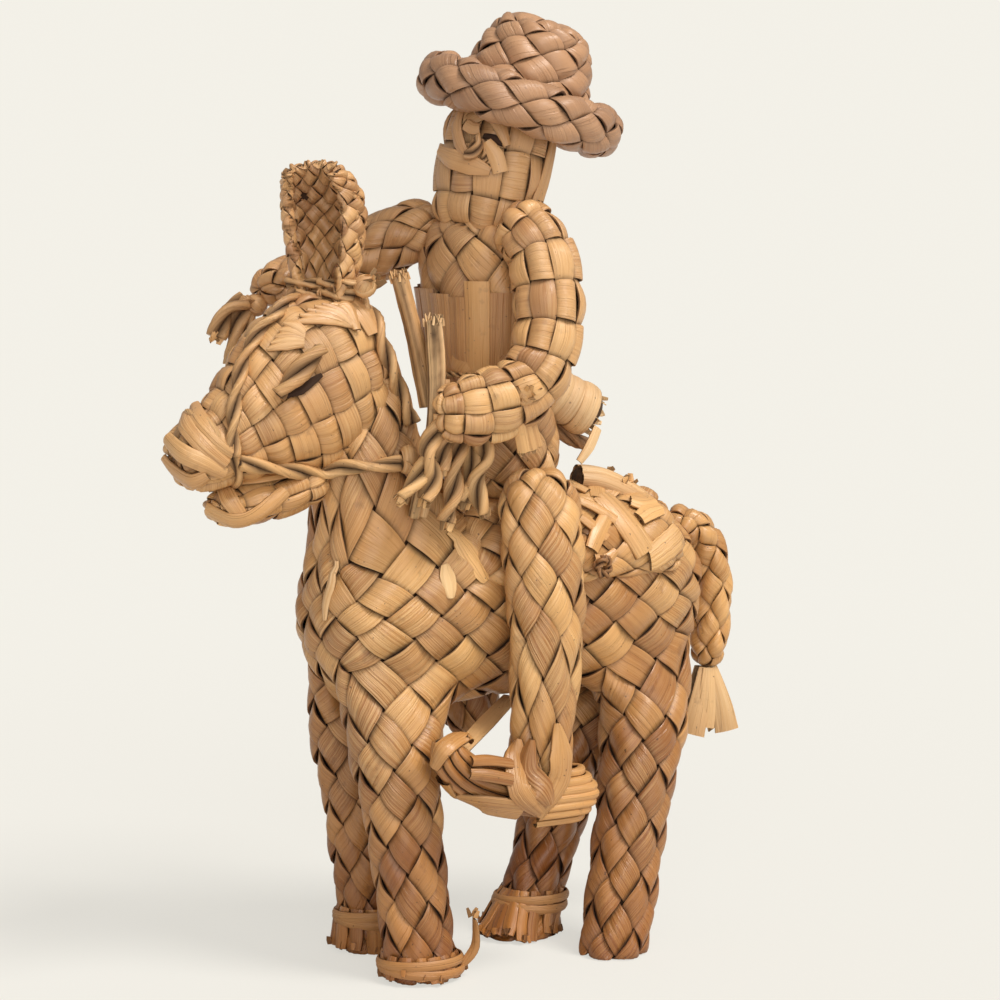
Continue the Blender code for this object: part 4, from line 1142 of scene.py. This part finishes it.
def waist_band():
    leaves = Leaves()
    middle = SEAT + mm(-2, 0, 63)
    forward, far = Vector((1, 0, 0)), 45 * MM
    count = 17
    for strip in range(count):
        dice = random.Random(strip)
        top = 19 + dice.uniform(-3, 4.5)
        levels = [-19.5 + (top + 19.5) * step / 8 for step in range(9)]
        rows = []
        for rise in levels:
            row = []
            for v in ACROSS:
                angle = math.tau * strip / count + v * math.pi / count * 1.2
                outward = turned(SIDEWAYS, forward, angle)
                start = middle + UP * rise * MM + outward * far
                hit = SKINS["rider_torso"].tree.ray_cast(start, -outward, far)[0]
                out = 1.9 + 0.5 * (strip % 2) + 0.9 * (1 - v * v) + max(rise - 12, 0) * 0.12
                out -= 1.6 * math.exp(-((rise + 14) / 4) ** 2) + (0.7 if abs(v) == 1 else 0)
                row.append(hit + outward * out * MM)
            rows.append(row)
        vs = [strip * 41 + v * 5.5 for v in ACROSS]
        leaves.add_rows(rows, levels, vs, dice.gauss(0.5, 0.32), [edged(0.25, 0.7)] * 9)
    leaves.build("waist_strips", "waist_band", "pale_leaf", "leaf")
    leaves = Leaves()
    cord(leaves, ring_route(SEAT + mm(-2, 0, 49), UP, "rider_torso", 45, 24, 2.6), 1.4, 6, pitch=8, pieces=3)
    leaves.build("waist_cord", "waist_tie", "twisted_cord")


def face_strips(leaves):
    """Strips folded across the front: brow, bridge of the nose, lip and chin."""
    head = ["rider_head"]
    for n, (points, widths, tone, depth) in enumerate((
        # The first strip is fully dark: painted shade in a narrow slit.
        (((485, 137), (494, 140), (504, 146)), (2, 3.6, 1.5), 0.0, 0.0),
        (((484, 97), (474, 108), (459, 130)), (6, 6.5, 5.5), 0.7, 1),
        (((508, 103), (490, 112), (472, 123)), (6, 6.5, 5.5), 0.6, 1),
        (((484, 113), (497, 122), (506, 147)), (5.5, 6, 3), 0.5, 1),
        (((488, 143), (496, 157), (500, 173)), (4, 6.5, 6), 0.75, 1),
        (((447, 153), (458, 160), (475, 166), (491, 172)), (4, 8, 8, 3), 0.55, 1),
        (((468, 112), (463, 128), (465, 145), (471, 157)), (3.5, 5, 5, 3), 0.35, 1),
        (((471, 127), (477, 131), (483, 131)), (5, 5, 4), 0.4, 1),
    )):
        seen_band(leaves, points, head, widths, 90 + n, 2.5 + 0.22 * n, tone=tone, dome=0.9, depth=depth)
    curl = ((471, 157), (478, 154), (483, 146), (481, 139))
    seen_cord(leaves, curl, head, 2.2, 9, 5.5, pitch=22, tone=0.4)


def rider_head():
    stations = (
        (-7, -1, 104, 18, 15), (-4, -1, 117, 22, 19), (0, -1, 136, 21.5, 20.5),
        (4, -1, 151, 20, 19), (6, -1, 159, 14, 13),
    )
    cage = square_cage(SEAT, stations, 3, side=RIDER_SIDE, growth=1.04)
    plaited("rider_head", cage, 8, weave=straight_plait, crest=0.85, extra=face_strips)
    middle = SEAT + mm(-20, -20, 137)
    across = Vector((-0.7, 0.7, 0))
    route = []
    for step in range(14):
        radius = (1.5 + 5.0 * step / 13) * MM
        route.append(middle + turned(across, UP, math.tau * step / 8) * radius)
    leaves = Leaves()
    cord(leaves, laid_route(route, "rider_head", 2.2, 1)[0], 1.6, 9, pitch=12, pieces=3)
    leaves.build("nose_curl_leaf", "nose_curl", "leaf")
    leaves = Leaves()
    route = [SEAT + mm(24, -18, 148), SEAT + mm(20, -24, 134), SEAT + mm(10, -27, 116)]
    for offset, seed in ((-2.5, 1), (0.5, 2), (3, 3)):
        moved = [place + mm(offset, offset * 0.4, 0) for place in route]
        laid = laid_route(moved, "rider_head", 1.9 + seed * 0.3)
        band(leaves, *laid, (3.5, 4, 3.5), seed, 0.5 + 0.06 * seed)
    leaves.build("neck_leaves", "neck_strands", "leaf")


def hat():
    axis = Vector((math.sin(HAT_TILT) * 0.87, -math.sin(HAT_TILT) * 0.5, math.cos(HAT_TILT)))
    brim = ring_cage(HAT, axis, HAT_RADIUS, HAT_BRIM_HALF_WIDTH, HAT_BRIM_HALF_HEIGHT, 12, 4)
    plaited("hat_brim", brim, 10, crest=1.1, look="hat")
    stations = []
    for rise, fullness in ((0.0, 1.4), (0.42, 1.12), (0.8, 0.98), (1.0, 0.65)):
        place = axis * HAT_CROWN_HEIGHT * rise / MM
        radius = HAT_CROWN_RADIUS * fullness / MM
        stations.append((place.x, place.y, place.z, radius, radius))
    plaited("hat_crown", limb_cage(HAT, stations, 7), 11, look="hat")


def legs():
    near = (
        (22, 1, 55, 11, 14), (20, -7, 34, 11.5, 16), (20, -10, 14, 10.5, 15.5),
        (20, -11.5, -10, 10, 14), (18, -13, -42, 9.5, 11.5), (13, -14, -73, 12, 10),
    )
    plaited("near_leg", limb_cage(NEAR_SIDE, near, 6), 12)
    foot = (
        (35, -14, -72, 6, 6.5), (31, -14, -73, 10, 11), (8, -15, -70, 9.5, 10),
        (-14, -15, -63, 9, 9), (-25, -14, -54, 8, 8), (-27, -13, -46, 5, 5),
    )
    leaves = Leaves()
    SKINS["near_foot"] = Skin(limb_cage(NEAR_SIDE, foot, 12, growth=1), 2)
    thin = [(x, y, z, a * 0.74, b * 0.78) for x, y, z, a, b in foot]
    shade_plug(leaves, NEAR_SIDE, thin)
    ribs(leaves, NEAR_SIDE, thin, 9, 13, tone=0.12, dome=1.5, overlap=0.9)
    heel = NEAR_SIDE + mm(24, -14, -73)
    on = ["near_leg", "near_foot"]
    for n in range(7):
        dice = random.Random(n + 3)
        level = 9.5 - 3.2 * n
        deep = 9 * math.sqrt(max(0.12, 1 - (level / 12.5) ** 2))
        reach = 39.5 - 0.055 * level ** 2 + dice.uniform(-0.6, 0.6)
        outline = (
            (10, -deep), (24, -deep * 1.05), (reach - 4, -deep * 0.9), (reach, -deep * 0.25),
            (reach, deep * 0.3), (reach - 5, deep), (20, deep),
        )
        route = smooth_route([NEAR_SIDE + mm(x, y - 14, level - 73) for x, y in outline], 4)
        facings = facing_out(route, heel)
        band(leaves, route, facings, (3.6, 3.9, 3.6), n + 3, 0.75 + dice.gauss(0, 0.1), 1.3, 1.0)
    for n, (points, widths, tone) in enumerate((
        (((446, 777), (458, 790), (485, 800), (520, 806)), (7, 10, 12, 11), 0.5),
        (((439, 764), (446, 750), (462, 737), (478, 734)), (5, 8, 8, 6), 0.4),
        (((468, 762), (486, 764), (508, 768)), (4, 5, 5), 0.1),
        (((468, 772), (486, 776), (508, 781)), (4, 5, 5), 0.15),
        (((524, 738), (512, 766), (516, 790), (538, 806)), (2, 10, 10, 6), 0.35),
        (((553, 722), (556, 755), (553, 784), (536, 810)), (2, 11, 10, 5), 0.6),
        (((534, 738), (530, 768), (538, 790), (545, 800)), (2, 11, 10, 4), 0.2),
    )):
        seen_band(leaves, points, on, widths, 130 + n, 2.4 + 0.25 * n, tone=tone, dome=1.3, thick=1.0)
    leaves.build("near_foot_leaves", "near_foot", "leaf")
    far = (
        (22, 0, 55, 11, 14), (21, 8, 28, 11.5, 15.5), (24, 11, -4, 10.5, 14),
        (30, 13, -36, 9.5, 12), (36, 11, -66, 9, 12),
    )
    plaited("far_leg", limb_cage(FAR_SIDE, far, 6), 14)


def wrist(leaves):
    """The frayed knot at the wrist and the folded strip end below it."""
    knot = in_plane(524, 396, -53)
    wind(leaves, knot, 3.6, 8)
    fray(leaves, knot, Vector((-0.5, -0.5, 0.2)).normalized(), 0.8, 6, 7, 2.2, 5, 0.95)
    fray(leaves, knot, Vector((0.2, -0.3, 0.9)).normalized(), 0.6, 5, 8, 2, 6, 0.95)
    for n, (first, last) in enumerate((
        ((516, 408), (524, 452)), ((521, 407), (531, 450)), ((526, 405), (536, 447)),
    )):
        start, end = in_plane(*first, -50 + n), in_plane(*last, -47 + n)
        route = [start.lerp(end, t / 4) for t in range(5)]
        band(leaves, route, Vector((-0.5, -0.85, 0)), (4.5, 5, 5), n + 9, 0.75 - 0.1 * n, 1.2, 1.6)
        down = (end - start).normalized()
        fray(leaves, end - down * MM, down, 0.2, 4, 2.5, 1.8, n + 90, 1.0)


def arms():
    near = (
        (-4, -22, 110, 11, 11), (1, -35, 98, 13, 13), (0, -43, 70, 13, 13.5),
        (-10, -45, 47, 11, 14), (-32, -46, 39, 8, 14), (-50, -44, 38, 4, 9),
    )
    cage = square_cage(SEAT, stations_between(near, 2), 2, side=RIDER_SIDE, growth=1.04)
    plaited("near_arm", cage, 15, weave=straight_plait, crest=0.95, extra=wrist)
    far = (
        (-12, 17, 107, 9, 9), (-26, 29, 104.5, 12, 12), (-40, 38, 92, 11, 11),
        (-54, 39, 86, 10, 10), (-72, 39, 85, 9, 11), (-86, 38, 82, 6, 9),
    )
    plaited("far_arm", limb_cage(SEAT, far, 6, side=UP), 16)


def hand_strands():
    """Lengths of twisted leaf with torn ends, which hang from each hand."""
    leaves = Leaves()
    for seed, (side, points) in enumerate((
        (-40, ((450, 402), (454, 424), (443, 446), (441, 470))),
        (-42, ((441, 424), (427, 450), (433, 476), (424, 500))),
        (-40, ((432, 455), (418, 478), (402, 499))),
        (-38, ((463, 432), (455, 464), (453, 494), (446, 522))),
        (-39, ((477, 430), (485, 456), (476, 484), (483, 512))),
        (-36, ((467, 440), (472, 470), (464, 502))),
    )):
        route = [in_plane(u, v, side) for u, v in points]
        cord(leaves, route, 4.0, seed + 20, 2, 31 + 5 * (seed % 3), 0.4 + 0.15 * (seed % 3), 9)
        down = (route[-1] - route[-2]).normalized()
        fray(leaves, route[-1] - down * 2 * MM, down, 0.3, 5, 5, 2.8, seed + 60, 0.8)
    leaves.build("near_hand_strands_leaves", "near_hand_strands", "twisted_cord")
    leaves = Leaves()
    hand = mm(-67, 38, 264)
    for seed, tip in enumerate((mm(-85, 37, 252), mm(-77, 38, 241), mm(-68, 40, 249))):
        route = [hand + mm(2 * seed - 5, 0, 2), hand.lerp(tip, 0.5) + mm(-4, 0, 4), tip]
        cord(leaves, route, 4.2, seed + 26, 2, 40, 0.45, 8)
        down = (route[-1] - route[-2]).normalized()
        fray(leaves, tip - down * 2 * MM, down, 0.3, 5, 5, 3, seed + 66, 0.75)
    wind(leaves, hand, 4.2, 4)
    leaves.build("far_hand_strands_leaves", "far_hand_strands", "twisted_cord")


def back_bundle():
    start, end = SEAT + mm(10, -11, 46), SEAT + mm(38, -15, 31)
    stations = []
    for step in range(7):
        radius = 9.6 - 0.8 * (step % 2) - (2 if step in (0, 6) else 0)
        stations.append((*((start.lerp(end, step / 6) - SEAT) / MM), radius, radius))
    leaves = Leaves()
    shade_plug(leaves, SEAT, stations)
    axis = (end - start).normalized()
    side = axis.orthogonal().normalized()
    other = axis.cross(side)
    angles = [math.tau * step / 24 for step in range(25)]
    for turn in range(4):
        middle = start.lerp(end, 0.12 + 0.23 * turn)
        rows = []
        for angle in angles:
            slant = axis * 0.9 * MM * math.sin(angle + turn)
            row = []
            for v in ACROSS:
                out = 9.4 + 1.0 * (1 - v * v) + 0.5 * (turn % 2) - (0.7 if abs(v) == 1 else 0)
                row.append(middle + slant + axis * v * 4.3 * MM + turned(side, other, angle) * out * MM)
            rows.append(row)
        us = [angle * 10 for angle in angles]
        vs = [turn * 40 + v * 4.3 for v in ACROSS]
        leaves.add_rows(rows, us, vs, 0.5 + 0.1 * (turn % 2), [edged(0.2, 0.7)] * 25)
    for n in range(14):
        spot = end + turned(side, other, math.tau * n / 14) * 5.5 * MM
        fray(leaves, spot - axis * 2 * MM, axis, 0.35, 2, 5, 2.6, n)
    leaves.build("bundle_leaves", "back_bundle", "pale_leaf")
    for name, slot, points, radius, seed in (
        ("bundle_reed", "dark_leaf", ((10, -8, 34), (24, -8, 25), (40, -9, 17)), 3.2, 2),
        ("bundle_stub", "leaf", ((24, -12, 44), (25.5, -12, 50), (27, -12, 56)), 2.1, 5),
    ):
        leaves = Leaves()
        cord(leaves, [SEAT + mm(*point) for point in points], radius, seed, plies=3, pitch=40)
        leaves.build(name + "_leaf", name, slot)
    leaves = Leaves()
    loose = smooth_route([end + mm(-2, -7, -5), end + mm(-7, -9, -12), end + mm(-12, -9, -18)], 4)
    band(leaves, loose, SIDEWAYS, (4, 4.5, 3), 8, 0.75)
    leaves.build("bundle_strip_leaf", "bundle_strip", "pale_leaf")


# Bridle, ties and loose leaves


def bridle():
    leaves = Leaves()
    route = ring_route(POLL + mm(-62, 0, -41), Vector((0.87, 0, 0.5)), "horse_head", 30, 18)
    cord(leaves, route, 2.4, 7, pitch=38, pieces=3)
    leaves.build("muzzle_cord", "muzzle_band", "twisted_cord")
    carriers = ["horse_head", "horse_body"]
    cheek = ((297, 299), (278, 318), (259, 339), (246, 366), (238, 396), (232, 430), (231, 455))
    lash = ((357, 297), (368, 320), (377, 345), (386, 372), (396, 398), (406, 425))
    for name, node, slot, points, radius, seed, height, tone in (
        ("cheek_leaf", "cheek_strap", "leaf", cheek, 3.1, 12, 2.8, 0.5),
        ("lash_cord", "throat_lash", "twisted_cord", lash, 3.5, 8, 3.0, 0.6),
    ):
        leaves = Leaves()
        seen_cord(leaves, points, carriers, radius, seed, height, pitch=30, tone=tone, pieces=5)
        leaves.build(name, node, slot)
    carriers.append("lower_jaw")
    rein = ((236, 459), (262, 462), (290, 464), (318, 466), (345, 467), (372, 466), (396, 463))
    leaves = Leaves()
    seen_cord(leaves, rein, carriers, 3.2, 9, 3.6, pitch=44, tone=0.6, pieces=5)
    end = seen(402, 460, carriers, 4)[0]
    wind(leaves, end, 5.4, 11)
    fray(leaves, end, Vector((0.1, -0.8, -0.6)).normalized(), 0.6, 5, 7, 3, 4, 0.8)
    leaves.build("rein_cord", "rein", "twisted_cord")


def hoof_ties():
    """Narrow strips wound twice above the cut ends of three legs."""
    for name, _, side, hoof, root, _, height in LEGS:
        if not height:
            continue
        middle = leg_middle(side, hoof, root, (LEG_TOP - height) / (LEG_TOP + HOOF_CUT))
        leaves = Leaves()
        for turn in range(2):
            centre = Vector((*middle, height + (1.4 - 2.6 * turn) * MM))
            axis = Vector((0.05 * turn, 0.07 - 0.1 * turn, 1)).normalized()
            route = smooth_route(ring_route(centre, axis, "horse_body", 19, 18, 3.9), 2)
            facings = facing_out(route, centre)
            band(leaves, route, facings, (3.4, 3.8, 3.2), 12 + turn, 0.72 - 0.1 * turn, 0.7, 0.8)
        if name == "near_front":
            out = centre + mm(14, -9, 0)
            loose = smooth_route([out, out + mm(4, -3, 8), out + mm(3, -4, 20)], 5)
            band(leaves, loose, SIDEWAYS, (3, 4, 3.5, 5.5), 5, 0.8, twist=2)
            fray(leaves, loose[-1], Vector((0.1, 0, 1)).normalized(), 0.4, 4, 4, 2, 5, 0.9)
        leaves.build(name + "_cord", name + "_tie", "pale_leaf")


def loose_leaves():
    for name, points, width, tone, slot in (
        ("chest_leaf", [mm(-71, -20, 170), mm(-73, -18, 157), mm(-72, -16, 144)], 3.4, 0.45, "pale_leaf"),
        ("shoulder_leaf", [mm(-19, -40, 169), mm(-18, -40, 161), mm(-18, -40, 153)], 6, 0.75, "pale_leaf"),
        ("saddle_loop", [mm(-9, -40, 184), mm(-5, -42, 172), mm(-1, -42, 160)], 8, 0.75, "leaf"),
    ):
        leaves = Leaves()
        widths = (width * 0.5, width * 1.15, width, width * 0.4)
        band(leaves, *laid_route(points, "horse_body", 2.1), widths, len(name), tone, 0.8)
        leaves.build(name + "_strip", name, slot)
    leaves = Leaves()
    route = smooth_route([mm(-19, -40, 93), mm(4, -22, 99), mm(26, -4, 104)], 6)
    band(leaves, route, Vector((-0.3, -0.6, 0.7)).normalized(), (6, 7, 6), 3, 0.65)
    leaves.build("stirrup_leaf", "stirrup_strap", "pale_leaf")


def stalk(leaves, points, radii, seed, tone, dark=0.0):
    """A stiff stem with grooves down it, and a pale torn top. Radii are in millimetres."""
    dice = random.Random(seed)
    route = smooth_route(points, 12)
    axes = frames(route)
    sides = 16
    groove = [dice.uniform(0.82, 1.1) for _ in range(sides)]
    rows, depths, us = [], [], []
    for index, (place, (first, second)) in enumerate(zip(route, axes)):
        t = index / (len(route) - 1)
        row, shades = [], []
        for n in range(sides):
            angle = math.tau * n / sides
            groove[n] = min(max(groove[n] + dice.uniform(-0.035, 0.035), 0.76), 1.14)
            out = turned(first, second * 0.8, angle)
            row.append(place + out * between(radii, t) * groove[n] * MM)
            # Painted shade in the grooves, where the stem dips in; dark takes a further random amount off.
            shades.append(min(1, max(0.2, (groove[n] - 0.72) * 2.6 - dark * dice.uniform(0, 1))))
        rows.append(row)
        depths.append(shades)
        us.append(t * 60)
    rows = [[route[0]] * sides] + rows + [[route[-1]] * sides]
    depths = [[0.9] * sides] + depths + [[0.5] * sides]
    leaves.add_rows(rows, [0] + us + [61], [n * 1.6 + seed for n in range(sides)], tone, depths, closed=True)
    top = (points[0] - points[1]).normalized()
    for n in range(9):
        spot = points[0] + turned(*axes[0], math.tau * n / 9) * radii[0] * 0.75 * MM
        fray(leaves, spot - top * 2 * MM, top, 0.3, 3, 5, 1.0, 77 + n, 1.0)


def stems():
    leaves = Leaves()
    stalk(leaves, [mm(-34, -20, 277), mm(-29, -24, 252), mm(-25, -27, 227)], (4.0, 3.9, 4.4, 4.2), 3, 0.55)
    leaves.build("short_stem_reed", "short_stem", "leaf")
    leaves = Leaves()
    long = [mm(-24, -29, 260), mm(-25, -33, 238), mm(-27, -32, 214), mm(-30, -24, 184)]
    stalk(leaves, long, (4.3, 4.9, 4.4, 3.4, 3.2, 2.8), 8, 0.6, dark=0.15)
    split = smooth_route([place + mm(3, -2, 0) for place in long[1:]], 6)
    band(leaves, split, Vector((-0.4, -0.9, 0)), (3, 5, 4.5, 3), 3, 0.5, 1.0)
    leaves.build("long_stem_reed", "long_stem", "pale_leaf")


# Studio


def light_world():
    """The pale world that the camera sees, and the weaker one that lights the object."""
    scene = bpy.context.scene
    scene.world = scene.world or bpy.data.worlds.new("world")
    scene.world.use_nodes = True
    tree = scene.world.node_tree
    tree.nodes.clear()
    seen_world = add_node(tree, "Background", {0: PALE, 1: 1.0}).outputs[0]
    lit_world = add_node(tree, "Background", {0: (1.0, 0.98, 0.95, 1), 1: 0.36}).outputs[0]
    looked_at = add_node(tree, "LightPath", {}).outputs["Is Camera Ray"]
    mix = add_node(tree, "MixShader", {0: looked_at, 1: lit_world, 2: seen_world})
    add_node(tree, "OutputWorld", {0: mix.outputs[0]})


def sun(name, direction, strength, spread, colour):
    lamp = bpy.data.lights.new(name, "SUN")
    lamp.energy = strength
    lamp.angle = math.radians(spread)
    lamp.color = colour
    made = bpy.data.objects.new(name, lamp)
    made.rotation_euler = Vector(direction).to_track_quat("-Z", "Y").to_euler()
    bpy.context.scene.collection.objects.link(made)


def pale_floor():
    """A floor that keeps the shadow and fades into the pale world further out."""
    mesh = bpy.data.meshes.new("floor")
    mesh.from_pydata([(-4, -4, 0), (4, -4, 0), (4, 4, 0), (-4, 4, 0)], [], [(0, 1, 2, 3)])
    floor = bpy.data.objects.new("floor", mesh)
    bpy.context.scene.collection.objects.link(floor)
    look = bpy.data.materials.new("pale_floor")
    look.use_nodes = True
    tree = look.node_tree
    shader = tree.nodes["Principled BSDF"]
    shader.inputs["Base Color"].default_value = (0.73, 0.72, 0.69, 1)
    shader.inputs["Roughness"].default_value = 1.0
    shader.inputs["Specular IOR Level"].default_value = 0.0
    glow = add_node(tree, "Emission", {0: PALE}).outputs[0]
    place = add_node(tree, "TexCoord", {}).outputs["Object"]
    away = add_node(tree, "VectorMath", {0: place}, operation="LENGTH").outputs["Value"]
    limits = {"Value": away, "From Min": 0.2, "From Max": 1.0, "To Min": 0.68}
    fade = add_node(tree, "MapRange", limits, interpolation_type="SMOOTHSTEP").outputs[0]
    looked_at = add_node(tree, "LightPath", {}).outputs["Is Camera Ray"]
    both = add_node(tree, "Math", {0: fade, 1: looked_at}, operation="MULTIPLY").outputs[0]
    mix = add_node(tree, "MixShader", {0: both, 1: shader.outputs[0], 2: glow}).outputs[0]
    tree.links.new(mix, tree.nodes["Material Output"].inputs[0])
    mesh.materials.append(look)


def studio():
    light_world()
    sun("key", (-0.26, 0.45, -0.82), 2.55, 22, (1.0, 0.97, 0.915))
    sun("fill", (0.3, 0.8, -0.35), 1.25, 50, (1.0, 0.98, 0.95))
    pale_floor()
    lens = bpy.data.cameras.new("camera")
    lens.sensor_width = 36
    lens.lens = 108
    lens.shift_x = 0.05
    lens.shift_y = -0.01
    lens.clip_start = 0.05
    camera = bpy.data.objects.new("camera", lens)
    camera.location = CAMERA_TARGET + SHIFT - AIM * CAMERA_AWAY
    camera.rotation_euler = AIM.to_track_quat("-Z", "Y").to_euler()
    bpy.context.scene.collection.objects.link(camera)
    bpy.context.scene.camera = camera
    bpy.context.scene.view_settings.view_transform = "Standard"


horse_body()
horse_head()
lower_jaw()
near_ear()
ear_tie()
tail()
saddle()
rider_torso()
waist_band()
rider_head()
hat()
legs()
arms()
hand_strands()
back_bundle()
bridle()
hoof_ties()
loose_leaves()
stems()
studio()
